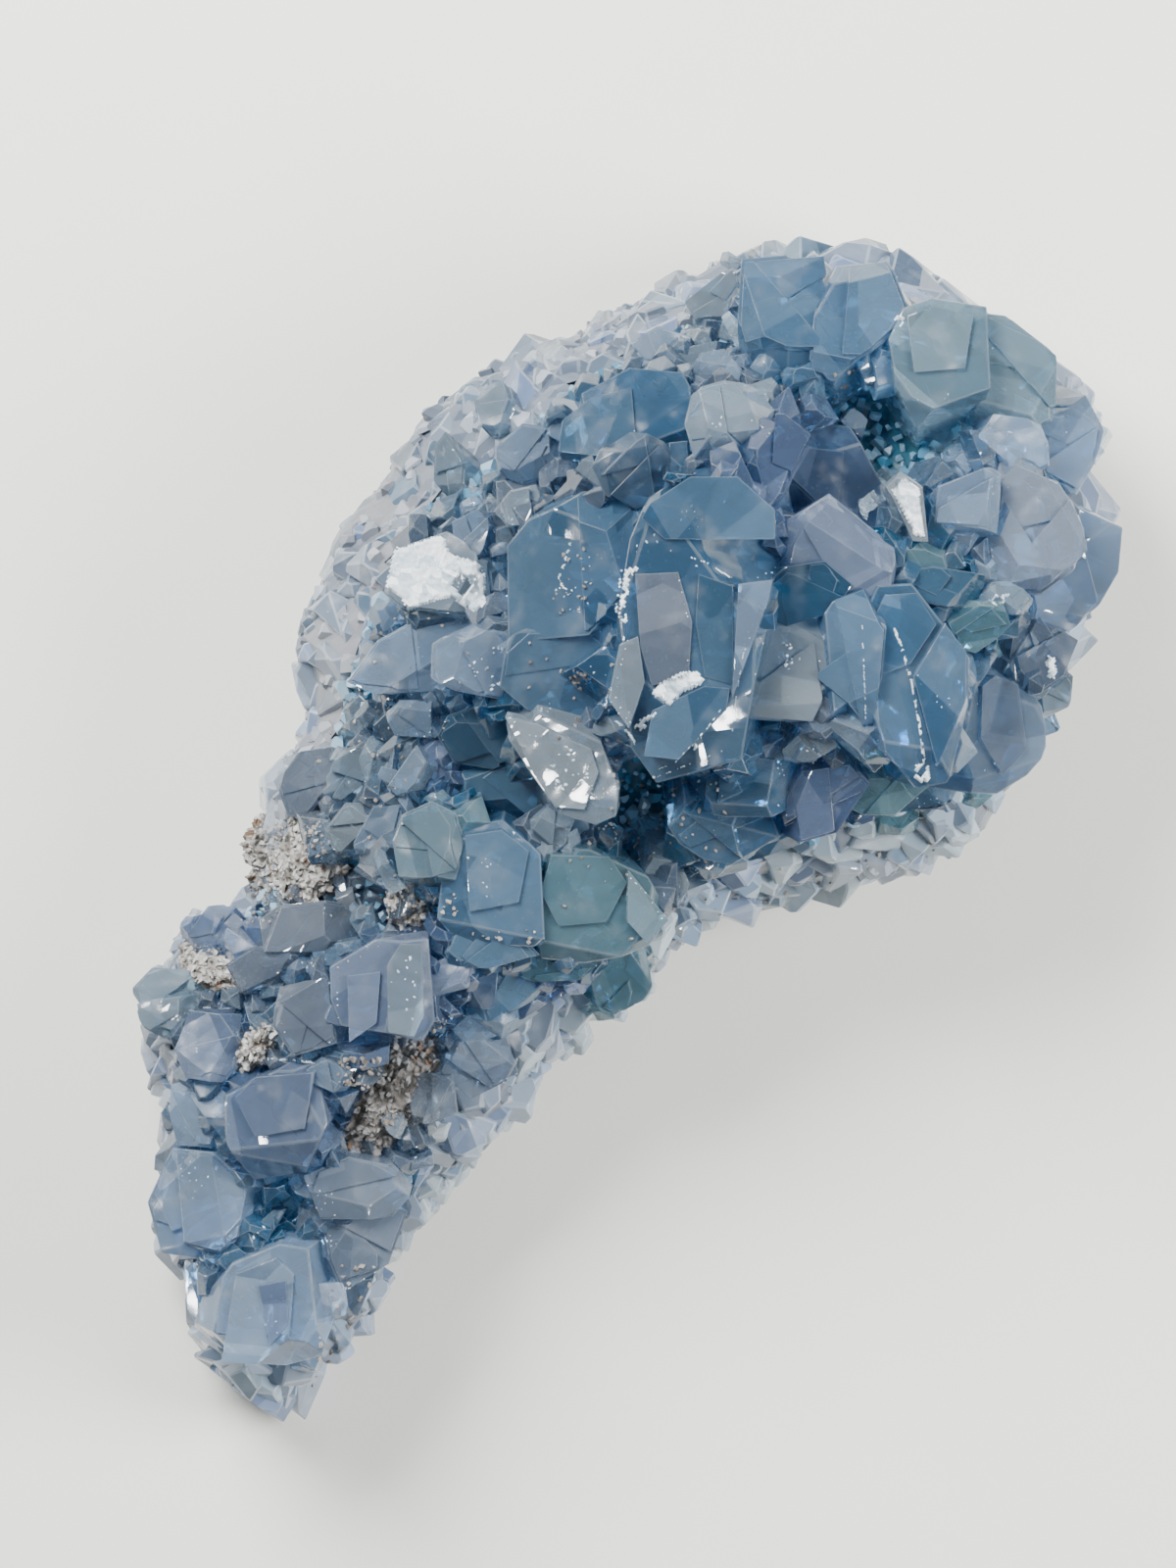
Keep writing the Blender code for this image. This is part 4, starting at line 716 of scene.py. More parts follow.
def loft(rings):
    """A closed skin through rings of points, with a fan over each end."""
    bm = bmesh.new()
    rows = [[bm.verts.new(point) for point in ring] for ring in rings]
    for row, following in zip(rows, rows[1:]):
        for i in range(len(row)):
            j = (i + 1) % len(row)
            bm.faces.new((row[i], row[j], following[j]))
            bm.faces.new((row[i], following[j], following[i]))
    for row in (rows[0], rows[-1]):
        middle = bm.verts.new(sum((vert.co for vert in row), Vector()) / len(row))
        for i in range(len(row)):
            bm.faces.new((row[i], row[(i + 1) % len(row)], middle))
    return bm


def slice_off(bm, normal, point):
    """Cuts away what lies outside a plane and closes the cut."""
    geometry = bm.verts[:] + bm.edges[:] + bm.faces[:]
    cut = bmesh.ops.bisect_plane(bm, geom=geometry, dist=EPSILON, plane_co=point,
                                 plane_no=normal, clear_outer=True)
    rim = [item for item in cut["geom_cut"] if isinstance(item, bmesh.types.BMEdge)]
    if rim:
        bmesh.ops.edgeloop_fill(bm, edges=rim)


def box_planes():
    """The sides of the measured solids' box, a little inside."""
    low, high = (Vector(corner) / METRES for corner in SOLID_BOX)
    planes = []
    for axis in range(3):
        out = Vector((0, 0, 0))
        out[axis] = 1.0
        planes.append((out, high - out * BOX_MARGIN))
        planes.append((-out, low + out * BOX_MARGIN))
    return planes


def kept_inside(point, reach):
    """A point moved so that what reaches round it stays in the measured solids' box."""
    low, high = (Vector(corner) / METRES for corner in SOLID_BOX)
    for axis in range(3):
        point[axis] = min(max(point[axis], low[axis] + reach), high[axis] - reach)
    return point


def block_from_planes(planes, middle):
    """The convex block that lies behind all of its planes."""
    bm = bmesh.new()
    bmesh.ops.create_cube(bm, size=BLOCK_REACH, matrix=Matrix.Translation(middle))
    for normal, point in planes:
        slice_off(bm, normal, point)
    return bm


def painted(bm, tint):
    """Gives a block its tint, with the number that turns its inner pattern as the fourth value."""
    layer = bm.faces.layers.float_color.new("tint")
    for face in bm.faces:
        face[layer] = tint


def softened(bm, width, segments=1):
    """Rounds a block's edges a little and marks them, so that the paint lightens them: partly wear, partly a
    painted highlight.
    """
    layer = bm.faces.layers.float.new("edge")
    bmesh.ops.remove_doubles(bm, verts=bm.verts[:], dist=width * 1.2)
    bmesh.ops.dissolve_degenerate(bm, edges=bm.edges[:], dist=width * 0.2)
    result = bmesh.ops.bevel(bm, geom=bm.edges[:], offset=width, segments=segments, profile=0.6,
                             affect="EDGES", clamp_overlap=True)
    for face in result["faces"]:
        face[layer] = 1.0


def joined(first, others):
    """One closed mesh from many that overlap."""
    model = bpy.data.objects.new("work", first)
    bpy.context.scene.collection.objects.link(model)
    tools = bpy.data.collections.new("tools")
    bpy.context.scene.collection.children.link(tools)
    for mesh in others:
        tools.objects.link(bpy.data.objects.new("tool", mesh))
    union = model.modifiers.new("union", "BOOLEAN")
    union.operation = "UNION"
    union.operand_type = "COLLECTION"
    union.collection = tools
    union.solver = "MANIFOLD"
    mesh = plain_mesh(model)
    for item in list(tools.objects) + [model]:
        bpy.data.objects.remove(item)
    bpy.data.collections.remove(tools)
    return mesh


def plain_mesh(model):
    """A mesh of an object with its modifiers worked out."""
    bpy.context.view_layer.update()
    graph = bpy.context.evaluated_depsgraph_get()
    return bpy.data.meshes.new_from_object(model.evaluated_get(graph))


def within_box(mesh):
    """Moves what stands out of the measured solids' box back to its side."""
    places = numpy.empty(len(mesh.vertices) * 3)
    mesh.vertices.foreach_get("co", places)
    low, high = (numpy.array(corner) for corner in SOLID_BOX)
    places = numpy.clip(places.reshape(-1, 3), low + BOX_MARGIN * METRES, high - BOX_MARGIN * METRES)
    mesh.vertices.foreach_set("co", places.ravel())
    mesh.update()


def show(name, mesh, paint, slot, *nodes):
    """A finished piece: its material, its body and the solids that it stands for. The slot is not used."""
    within_box(mesh)
    mesh.name = name
    mesh.materials.clear()
    mesh.materials.append(paint)
    piece = bpy.data.objects.new(name, mesh)
    bpy.context.scene.collection.objects.link(piece)
    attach(piece, "root")
    if nodes:
        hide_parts(*nodes)
    return piece


# Crystals

def crystal_planes(ground, outline, rise, face, caps, scale):
    """The faces of one crystal, drawn larger than its outline by a scale."""
    corners = [plan(px, py) for px, py in outline]
    x = sum(corner[0] for corner in corners) / len(corners)
    y = sum(corner[1] for corner in corners) / len(corners)
    bed = ground.bed(x, y)
    middle = Vector((x, y, bed + rise))
    axis = ground.upright(x, y)
    drawn = [(x + (px - x) * scale, y + (py - y) * scale) for px, py in corners]
    planes = side_planes(drawn, axis, middle, [bed + rise] * len(drawn))
    main = facing(*face)
    planes.append((main, middle))
    for direction, slope, start in caps:
        reach = heading(direction) * start * scale * MM_PER_PIXEL
        reach.z = -(reach.x * main.x + reach.y * main.y) / main.z
        planes.append((facing(direction, slope), middle + reach))
    lowest = min(ground.bed(*corner) for corner in corners) - ROOT_DEPTH
    planes.append((Vector((0, 0, -1)), Vector((x, y, max(lowest, bed - DEEPEST_ROOT)))))
    return planes + box_planes(), middle


def plate_planes(ground, spec, outline, lift):
    """The faces of a plate that lies along a crystal's end face."""
    corners = [plan(px, py) for px, py in spec[0]]
    x = sum(corner[0] for corner in corners) / len(corners)
    y = sum(corner[1] for corner in corners) / len(corners)
    main = facing(*spec[2])
    face = Vector((x, y, ground.bed(x, y) + spec[1])) + main * lift
    axis = ground.upright(x, y)
    drawn = [plan(px, py) for px, py in outline]
    centre_x, centre_y = middle_of(outline)
    reach = face.z - ((centre_x - x) * main.x + (centre_y - y) * main.y) / main.z
    middle = Vector((centre_x, centre_y, reach))
    rims = [face.z - ((rim_x - x) * main.x + (rim_y - y) * main.y) / main.z for rim_x, rim_y in drawn]
    planes = [(main, middle), (-main, middle - main * (lift + PLATE_ROOT))]
    planes += side_planes(drawn, axis, middle, rims)
    return planes + box_planes(), middle - main * 0.01


def chipped(bm, draw, middle, count, depth):
    """Takes small flakes off some of a block's upper corners and edges."""
    for _ in range(count):
        upper = [vert for vert in bm.verts if vert.co.z > middle.z - 3.0]
        if not upper:
            return
        corner = draw.choice(sorted(upper, key=lambda vert: (vert.co.x, vert.co.y)))
        edge = draw.choice(sorted(corner.link_edges, key=lambda item: item.calc_length()))
        place = corner.co.lerp(edge.other_vert(corner).co, draw.uniform(0.0, 0.5))
        out = (place - middle).normalized() + Vector((0, 0, draw.uniform(0.1, 1.2)))
        out += Vector((draw.uniform(-0.5, 0.5), draw.uniform(-0.5, 0.5), 0.0))
        out.normalize()
        slice_off(bm, out, place - out * draw.uniform(0.2, 1.0) * depth)


def varied(tint, draw, spread=0.12):
    """A tint a little lighter or darker, warmer or cooler than its kind, and a number of its own."""
    light = 1.0 + draw.uniform(-spread, spread)
    warm = draw.uniform(-0.03, 0.03)
    red, green, blue = TINTS[tint]
    return (red * (light + warm), green * light, blue * (light - warm), draw.random())


def crystal(ground, draw, spec, plates=()):
    """One crystal: its block, faceted, chipped and softened, with growth plates on its end face."""
    outline, rise, face, caps, tint = spec
    size = math.sqrt(area(outline)) * MM_PER_PIXEL
    reach = size / MM_PER_PIXEL / 2.0
    colour = varied(tint, draw)
    facets = list(caps)
    for _ in range(0 if plates else draw.choice((0, 1, 1, 2))):
        facets.append((draw.uniform(0, 360), face[1] + draw.uniform(16, 40), reach * draw.uniform(0.7, 1.0)))
    planes, middle = crystal_planes(ground, outline, rise, face, facets, OVERLAP)
    body = block_from_planes(planes, middle)
    chipped(body, draw, middle, draw.choice((2, 3, 4, 5)), size * 0.10)
    painted(body, colour)
    softened(body, min(0.16, size * 0.02), 2)
    blocks = [finished("crystal", body)]
    for place, lift, tint in plates:
        planes, middle = plate_planes(ground, spec, place, lift)
        plate = block_from_planes(planes, middle)
        painted(plate, varied(tint, draw))
        softened(plate, 0.07, 2)
        blocks.append(finished("plate", plate))
    layers = 0 if size < 2.6 or plates else draw.choice((1, 2, 2, 3))
    lift = 0.0
    for _ in range(layers):
        lift += draw.uniform(0.10, 0.28)
        planes, middle = crystal_planes(ground, outline, rise + lift, face, facets, 1.0)
        way = heading(draw.uniform(0, 360))
        planes.append((way, middle + way * size * draw.uniform(-0.15, 0.3)))
        if draw.random() < 0.5:
            way.rotate(Matrix.Rotation(draw.uniform(0.8, 1.9), 3, "Z"))
            planes.append((way, middle + way * size * draw.uniform(0.0, 0.35)))
        plate = block_from_planes(planes, middle)
        chipped(plate, draw, middle, 2, size * 0.06)
        painted(plate, colour)
        softened(plate, 0.05)
        blocks.append(finished("plate", plate))
    return blocks


def sprout(draw, tip, axis, size, tall, tint, soft=0.06, along=None):
    """A small crystal with a roofed tip: where it ends, the way it grows, half length and height."""
    if along is None:
        aside = axis.orthogonal().normalized()
        aside.rotate(Matrix.Rotation(draw.uniform(0, math.tau), 3, axis))
    else:
        aside = (along - axis * along.dot(axis)).normalized()
    across = axis.cross(aside)
    tip = kept_inside(tip, size * 0.6)
    length = size * draw.uniform(0.8, 1.25)
    width = size * draw.uniform(0.4, 0.8)
    planes = [(-axis, tip - axis * tall)]
    for turn, far in ((0, length), (1, width), (2, length), (3, width)):
        way = turn * math.pi / 2 + draw.uniform(-0.25, 0.25)
        side = aside * math.cos(way) + across * math.sin(way) + axis * draw.uniform(-0.05, 0.14)
        side.normalize()
        planes.append((side, tip + side * far))
    for turn in (0, 1, 2, 3, draw.uniform(0, 4)):
        way = turn * math.pi / 2 + draw.uniform(-0.35, 0.35)
        slope = draw.uniform(0.35, 1.0)
        roof = aside * math.cos(way) * math.sin(slope) + across * math.sin(way) * math.sin(slope)
        roof += axis * math.cos(slope)
        planes.append((roof, tip + roof * size * draw.uniform(0.0, 0.3)))
    bm = block_from_planes(planes + box_planes(), tip - axis * 0.01)
    painted(bm, tint)
    softened(bm, min(soft, size * soft), 1)
    return finished("sprout", bm)


def large_crystals():
    """The crystals whose end faces smaller ones leave free."""
    return [spec for spec in CRYSTALS.values() if area(spec[0]) > LARGE_AREA]


def companions(ground, draw, spec):
    """Smaller crystals that grow from the foot and the flanks of a large one."""
    outline, rise, _, _, tint = spec
    size = math.sqrt(area(outline)) * MM_PER_PIXEL
    if size < LEAST_WITH_COMPANIONS:
        return []
    grown = []
    count = int(COMPANIONS_PER_MM * size + draw.random())
    centre_x = sum(px for px, py in outline) / len(outline)
    centre_y = sum(py for px, py in outline) / len(outline)
    for _ in range(count):
        i = draw.randrange(len(outline))
        (ax, ay), (bx, by) = outline[i], outline[(i + 1) % len(outline)]
        part = draw.random()
        px, py = ax + (bx - ax) * part, ay + (by - ay) * part
        away = math.hypot(px - centre_x, py - centre_y)
        half = min(draw.uniform(0.12, 0.2) * size + 0.3, LARGEST_COMPANION)
        step = 1.0 + half * draw.uniform(0.1, 0.7) / MM_PER_PIXEL / away
        px, py = centre_x + (px - centre_x) * step, centre_y + (py - centre_y) * step
        if not inside((px, py), OUTLINE) or any(inside((px, py), large[0]) for large in large_crystals()):
            continue
        x, y = plan(px, py)
        if ground.pocket(x, y) > POCKET_KEPT:
            continue
        bed = ground.bed(x, y)
        out = (Vector((x, y, 0.0)) - Vector((*plan(centre_x, centre_y), 0.0))).normalized()
        axis = (ground.upright(x, y) + out * draw.uniform(0.0, 0.5)).normalized()
        tip = Vector((x, y, bed + rise * draw.uniform(0.25, 0.7)))
        grown.append(sprout(draw, tip, axis, half, tip.z - bed + 2.0, varied(tint, draw, 0.22)))
    return grown


def height_over(*meshes):
    """A function that gives the height over a place on the plan of some meshes, in millimetres."""
    bm = bmesh.new()
    for mesh in meshes:
        bm.from_mesh(mesh)
    tree = BVHTree.FromBMesh(bm)
    bm.free()

    def height(x, y):
        hit = tree.ray_cast(Vector((x, y, SKY_HEIGHT)) * METRES, Vector((0, 0, -1)))[0]
        return hit.z / METRES if hit else None
    return height


def nearest_tint(x, y):
    """The tint of the large crystal whose middle is nearest."""
    def away(spec):
        middle_x, middle_y = middle_of(spec[0])
        return math.hypot(middle_x - x, middle_y - y)
    return min(CRYSTALS.values(), key=away)[4]


def gap_crystals(ground, draw, mesh, depth, spacing, sizes):
    """Crystals that close the narrow gaps between those already grown, but not the pockets, most of them in
    a darker tint that is painted shade.
    """
    height = height_over(mesh)
    grown = []
    placed = []
    low_x, high_x = ground.low_x + 2.0, ground.high_x - 2.0
    kept_clear = [[plan(*corner) for corner in spec[0]] for spec in large_crystals()]
    for _ in range(ATTEMPTS):
        x = draw.uniform(low_x, high_x)
        in_reach = ground.field_low_x < x < ground.field_high_x
        y = draw.uniform(*crossings(ground.field if in_reach else ground.outline, x))
        here = height(x, y)
        if here is None or ground.pocket(x, y) > POCKET_KEPT:
            continue
        if any(inside((x, y), large) for large in kept_clear):
            continue
        around = [height(x + GAP_REACH * math.cos(turn), y + GAP_REACH * math.sin(turn))
                  for turn in GAP_TURNS]
        around = sorted(found for found in around if found is not None)
        if len(around) < LEAST_AROUND or around[len(around) // 2] - here < depth:
            continue
        if any(math.hypot(x - qx, y - qy) < spacing for qx, qy in placed):
            continue
        placed.append((x, y))
        top = here + (around[len(around) // 2] - here) * draw.uniform(0.45, 0.8)
        axis = ground.upright(x, y) + Vector((draw.uniform(-0.4, 0.4), draw.uniform(-0.4, 0.4), 0.0))
        axis.normalize()
        tint = nearest_tint(x, y)
        # Most gap crystals take the darker tint: painted shade in the gaps
        tint = GAP_PAINTED_SHADE_TINTS[tint] if draw.random() < PAINTED_SHADE_SHARE else tint
        grown.append(sprout(draw, Vector((x, y, top)), axis, draw.uniform(*sizes), top - here + 2.0,
                            varied(tint, draw, 0.2)))
    return grown


def area(outline):
    """The area of an outline."""
    return abs(sum(x0 * y1 - x1 * y0 for (x0, y0), (x1, y1) in zip(outline, outline[1:] + outline[:1]))) / 2


def filler_specs():
    """Middling crystals that fill the ground between those placed one by one."""
    draw = random.Random(11)
    placed = []
    specs = []
    columns = [px for px, py in CRYSTAL_FIELD]
    rows = [py for px, py in CRYSTAL_FIELD]
    for _ in range(ATTEMPTS):
        if len(specs) == FILLER_COUNT:
            break
        px = draw.uniform(min(columns), max(columns))
        py = draw.uniform(min(rows), max(rows))
        if not inside((px, py), CRYSTAL_FIELD):
            continue
        if any(inside((px, py), spec[0]) for spec in CRYSTALS.values()):
            continue
        if any(math.hypot(px - qx, py - qy) < FILLER_SPACING for qx, qy in placed):
            continue
        placed.append((px, py))
        turn = draw.uniform(0, 180)
        length = draw.uniform(*FILLER_LENGTH)
        width = length * draw.uniform(*FILLER_WIDTH_SHARE)
        outline = []
        for along, across in FILLER_SHAPE:
            c, s = math.cos(math.radians(turn)), math.sin(math.radians(turn))
            outline.append((px + along * length * c - across * width * s,
                            py + along * length * s + across * width * c))
        face = (draw.uniform(0, 360), draw.uniform(6, 24))
        caps = [(face[0] + 180, draw.uniform(24, 40), length * 0.4)]
        specs.append((outline, draw.uniform(*FILLER_RISE), face, caps, "pale"))
    return specs


def swell(part):
    """How much of its full thickness the lining has at a share of the way across it."""
    return 0.55 + 0.45 * math.sin(math.pi * part) ** 0.6


def lining(ground):
    """The rough bed that the crystals share."""
    rings = []
    for i in range(LINING_STATIONS):
        share = (i + 0.5) / LINING_STATIONS
        x = ground.field_low_x + (ground.field_high_x - ground.field_low_x) * share
        low_y, high_y = crossings(ground.field, x)
        under = ground.levels(x)[0]
        upper, lower = [], []
        for j in range(LINING_STEPS + 1):
            part = j / LINING_STEPS
            y = low_y + (high_y - low_y) * part
            bed = ground.bed(x, y)
            thick = min(LINING_THICKNESS, LINING_SHARE * (bed - max(under, 0.0)))
            thick *= swell(share) * swell(part)
            grit = LINING_GRIT * noise.cell(Vector((x, y, 0.0)) / 1.3)
            upper.append(Vector((x, y, bed + LINING_RAISE + grit - LINING_GRIT)))
            lower.append(Vector((x, y, bed - thick)))
        rings.append(upper + lower[::-1])
    bm = loft(rings)
    layer = bm.faces.layers.float_color.new("tint")
    bm.faces.layers.float.new("edge")
    for face in bm.faces:
        middle = face.calc_center_median()
        # With pocket depth the lining turns towards the lighter pocket tint: painted light in the pockets
        depth = min(ground.pocket(middle.x, middle.y) / 3.0, 1.0)
        tint = [a + (b - a) * depth for a, b in zip(TINTS["blue"], POCKET_PAINTED_LIGHT_TINT)]
        face[layer] = (*tint, 0.5)
    return finished("lining", bm)


# Rind

def skin_point(ground, x, turn):
    """A point of the rind's uneven skin, from its place along the specimen and around the section."""
    point = ground.around(x, turn)
    out = (point - Vector((x, ground.section(x)[0], ground.levels(x)[2]))).normalized()
    swelling = SKIN_SWELL * noise.noise(point / SKIN_SWELL_SIZE)
    swelling += SKIN_GRIT * noise.noise(point / SKIN_GRIT_SIZE)
    return point + out * swelling


def rind_skin(ground):
    """The rind's body, with how thickly grains cover it and how large they are, on its points."""
    rings = []
    for i in range(SKIN_STATIONS):
        share = (1.0 - math.cos(math.pi * (i + 0.5) / SKIN_STATIONS)) / 2.0
        x = ground.low_x + (ground.high_x - ground.low_x) * share
        ring = []
        for j in range(SKIN_RING):
            turn = 2.0 * math.pi * (j + 0.5) / SKIN_RING
            point = skin_point(ground, x, turn)
            if math.sin(turn) > RIND_LEVEL and ground.in_field(point):
                point.z -= SKIN_DROP + ground.pocket(point.x, point.y)
            ring.append(kept_inside(point, BOX_MARGIN))
        rings.append(ring)
    bm = loft(rings)
    cover, size, tone = vertex_layers(bm, "cover", "size", "tone")
    for vert in bm.verts:
        _, left_level, right_level, _ = ground.levels(vert.co.x)
        hidden = ground.in_field(vert.co) and vert.co.z > right_level
        at_rim = (kept_inside(vert.co.copy(), 1.0) - vert.co).length > EPSILON
        shingled = vert.co.z > left_level - 1.0
        left = vert.co.y > ground.section(vert.co.x)[0]
        vert[cover] = 0.0 if hidden or at_rim else 0.25 if shingled else 1.0
        vert[size] = 1.25 if left else 0.9
        vert[tone] = 0.0
    return finished("rind", bm)


def flank_crystals(ground, draw):
    """Crystals of the rind that lie on its flanks like shingles, pointing out and up."""
    grown = []
    placed = []
    for _ in range(FLANK_ATTEMPTS):
        x = draw.uniform(ground.low_x + 0.3, ground.high_x - 0.3)
        turn = math.radians(draw.choice((draw.uniform(-8, 70), draw.uniform(110, 188))))
        point = skin_point(ground, x, turn)
        flank = "right" if math.cos(turn) < 0.0 else "upper" if x > 0.0 else "left"
        sizes, spacing, tints = FLANKS[flank]
        if ground.in_field(point) or point.z < FLANK_FOOT:
            continue
        size = draw.uniform(*sizes)
        if any((point - other).length < spacing * draw.uniform(0.7, 1.2) for other in placed):
            continue
        placed.append(point)
        out = Vector((draw.uniform(-0.35, 0.35), math.copysign(1.0, math.cos(turn)), 0.0))
        out.z = (0.9 + math.sin(turn)) * draw.uniform(0.5, 1.1)
        out.normalize()
        along = (out.cross(Vector((1, 0, 0))) + Vector((draw.uniform(-0.6, 0.6), 0.0, 0.0))).normalized()
        tip = point + out * (draw.uniform(0.0, 1.3) if flank == "right" else draw.uniform(-0.4, 0.4))
        tint = varied(draw.choice(tints), draw, 0.2)
        grown.append(sprout(draw, tip, out, size, min(size * 2.6, 6.0), tint, 0.14, along))
    return grown


# Scattered growth, by Geometry Nodes

class Nodes:
    """Nodes under construction, laid out from left to right."""

    def __init__(self, tree):
        self.tree = tree
        self.column = 0

    def node(self, kind, inputs=None, **settings):
        node = self.tree.nodes.new(kind)
        node.location = (self.column * 180, 0)
        self.column += 1
        for name, value in settings.items():
            setattr(node, name, value)
        self.feed(node, inputs or {})
        return node

    def feed(self, node, inputs):
        """Sets inputs by name or number: a socket is linked, and anything else is the input's value."""
        for label, value in inputs.items():
            socket = node.inputs[label]
            if isinstance(value, bpy.types.NodeSocket):
                self.tree.links.new(value, socket)
            elif socket.type == "RGBA":
                socket.default_value = (*value, 1.0)
            else:
                socket.default_value = value

    def math(self, operation, *values):
        return self.node("ShaderNodeMath", dict(enumerate(values)), operation=operation).outputs[0]

    def attribute(self, name):
        return self.node("ShaderNodeAttribute", attribute_name=name, attribute_type="GEOMETRY").outputs


SOCKETS = {float: "Float", int: "Int", bool: "Bool"}


class Group(Nodes):
    """A node group: each input is a default value or a kind of socket, each output a kind."""

    def __init__(self, name, kind, inputs, outputs):
        super().__init__(bpy.data.node_groups.new(name, kind))
        for way, sockets in (("INPUT", inputs), ("OUTPUT", outputs)):
            for label, value in sockets.items():
                carried = value if isinstance(value, str) else SOCKETS[type(value)]
                item = self.tree.interface.new_socket(
                    name=label, in_out=way, socket_type="NodeSocket" + carried)
                if carried != value:
                    item.default_value = value
        self.given = self.node("NodeGroupInput").outputs
        self.outlet = self.node("NodeGroupOutput")

    def give(self, **outputs):
        self.feed(self.outlet, outputs)
        return self.tree


def scatter_tree():
    """Sets grown blocks on a surface: placed by spacing, sized and turned at random, each with a tone."""
    tree = Group("Grown blocks", "GeometryNodeTree", {
        "Geometry": "Geometry", "Blocks": "Collection", "Spacing": 0.001, "Smallest": 0.5, "Largest": 1.0,
        "Lean": 0.5, "Clump scale": 300.0, "Clump limit": 0.0, "Seed": 1, "Keep surface": True,
        "Material": "Material"}, {"Geometry": "Geometry"})
    given = tree.given
    cover = tree.node("GeometryNodeInputNamedAttribute", {"Name": "cover"}, data_type="FLOAT")
    spread = tree.node("GeometryNodeDistributePointsOnFaces", distribute_method="POISSON")
    tree.feed(spread, {"Mesh": given["Geometry"], "Distance Min": given["Spacing"], "Density Max": 5e6,
                       "Density Factor": cover.outputs["Attribute"], "Seed": given["Seed"]})

    clump = tree.node("ShaderNodeTexNoise", {"Scale": given["Clump scale"], "Detail": 3.0})
    bare = tree.node("FunctionNodeCompare", data_type="FLOAT", operation="LESS_THAN")
    tree.feed(bare, {"A": clump.outputs["Fac"], "B": given["Clump limit"]})
    clumped = tree.node("GeometryNodeDeleteGeometry", {
        "Geometry": spread.outputs["Points"], "Selection": bare.outputs["Result"]}, domain="POINT")

    less = tree.math("MULTIPLY", given["Lean"], -1.0)
    low = tree.node("ShaderNodeCombineXYZ", {"X": less, "Y": less})
    high = tree.node("ShaderNodeCombineXYZ", {"X": given["Lean"], "Y": given["Lean"], "Z": 2.0 * math.pi})
    lean = tree.node("FunctionNodeRandomValue", {
        "Min": low.outputs[0], "Max": high.outputs[0], "Seed": given["Seed"]}, data_type="FLOAT_VECTOR")
    turn = tree.node("FunctionNodeEulerToRotation", {0: lean.outputs["Value"]})
    turned = tree.node("FunctionNodeRotateRotation", {
        "Rotation": spread.outputs["Rotation"], "Rotate By": turn.outputs[0]}, rotation_space="LOCAL")

    size = tree.node("FunctionNodeRandomValue", {
        2: given["Smallest"], 3: given["Largest"], "Seed": given["Seed"]}, data_type="FLOAT")
    local = tree.node("GeometryNodeInputNamedAttribute", {"Name": "size"}, data_type="FLOAT")
    sized = tree.math("MULTIPLY", size.outputs[1], local.outputs["Attribute"])

    blocks = tree.node("GeometryNodeCollectionInfo", {
        "Collection": given["Blocks"], "Separate Children": True, "Reset Children": True})
    placed = tree.node("GeometryNodeInstanceOnPoints", {
        "Points": clumped.outputs["Geometry"], "Instance": blocks.outputs[0], "Pick Instance": True,
        "Rotation": turned.outputs[0], "Scale": sized})
    tone = tree.node("FunctionNodeRandomValue", {"Seed": 7}, data_type="FLOAT")
    toned = tree.node("GeometryNodeStoreNamedAttribute", data_type="FLOAT", domain="INSTANCE")
    tree.feed(toned, {"Geometry": placed.outputs[0], "Name": "tone", "Value": tone.outputs[1]})

    kept = tree.node("GeometryNodeSwitch", input_type="GEOMETRY")
    tree.feed(kept, {"Switch": given["Keep surface"], "True": given["Geometry"]})
    both = tree.node("GeometryNodeJoinGeometry", {0: toned.outputs[0]})
    tree.feed(both, {0: kept.outputs[0]})
    real = tree.node("GeometryNodeRealizeInstances", {0: both.outputs[0]})
    finish = tree.node("GeometryNodeSetMaterial", {
        "Geometry": real.outputs[0], "Material": given["Material"]})
    return tree.give(Geometry=finish.outputs[0])


def scattered(surface, blocks, paint, keep=False, **settings):
    """The plain mesh of a surface with blocks scattered over it."""
    group = bpy.data.node_groups.get("Grown blocks") or scatter_tree()
    model = bpy.data.objects.new("surface", surface)
    bpy.context.scene.collection.objects.link(model)
    growth = model.modifiers.new("growth", "NODES")
    growth.node_group = group
    values = {"Blocks": blocks, "Keep surface": keep, "Material": paint}
    values.update((label.capitalize().replace("_", " "), value) for label, value in settings.items())
    for item in group.interface.items_tree:
        if item.in_out == "INPUT" and item.name in values:
            growth[item.identifier] = values[item.name]
    mesh = plain_mesh(model)
    model.modifiers.remove(growth)
    bpy.data.objects.remove(model)
    for block in list(blocks.objects):
        bpy.data.objects.remove(block)
    bpy.data.collections.remove(blocks)
    return mesh


def grown_blocks(name, seed, count, length, width, height):
    """A collection of small roofed blocks, a unit or so across, for scattering."""
    draw = random.Random(seed)
    store = bpy.data.collections.new(name)
    for _ in range(count):
        long_half = length * draw.uniform(0.8, 1.2)
        wide_half = width * draw.uniform(0.75, 1.25)
        tall = height * draw.uniform(0.8, 1.25)
        planes = [(Vector((0, 0, -1)), Vector((0, 0, -0.45)))]
        for turn, reach in ((0, long_half), (90, wide_half), (180, long_half), (270, wide_half)):
            way = math.radians(turn + draw.uniform(-14, 14))
            side = Vector((math.cos(way), math.sin(way), draw.uniform(-0.08, 0.16))).normalized()
            planes.append((side, side * reach))
        for turn in (0, 180, draw.uniform(50, 130), draw.uniform(230, 310)):
            way = math.radians(turn + draw.uniform(-20, 20))
            slope = math.radians(draw.uniform(18, 52))
            roof = Vector((math.cos(way) * math.sin(slope), math.sin(way) * math.sin(slope),
                           math.cos(slope)))
            planes.append((roof, Vector((0, 0, tall)) - roof * draw.uniform(0.0, 0.12)))
        bm = block_from_planes(planes, Vector((0, 0, 0)))
        store.objects.link(bpy.data.objects.new(name, finished(name, bm)))
    return store


# Shader groups

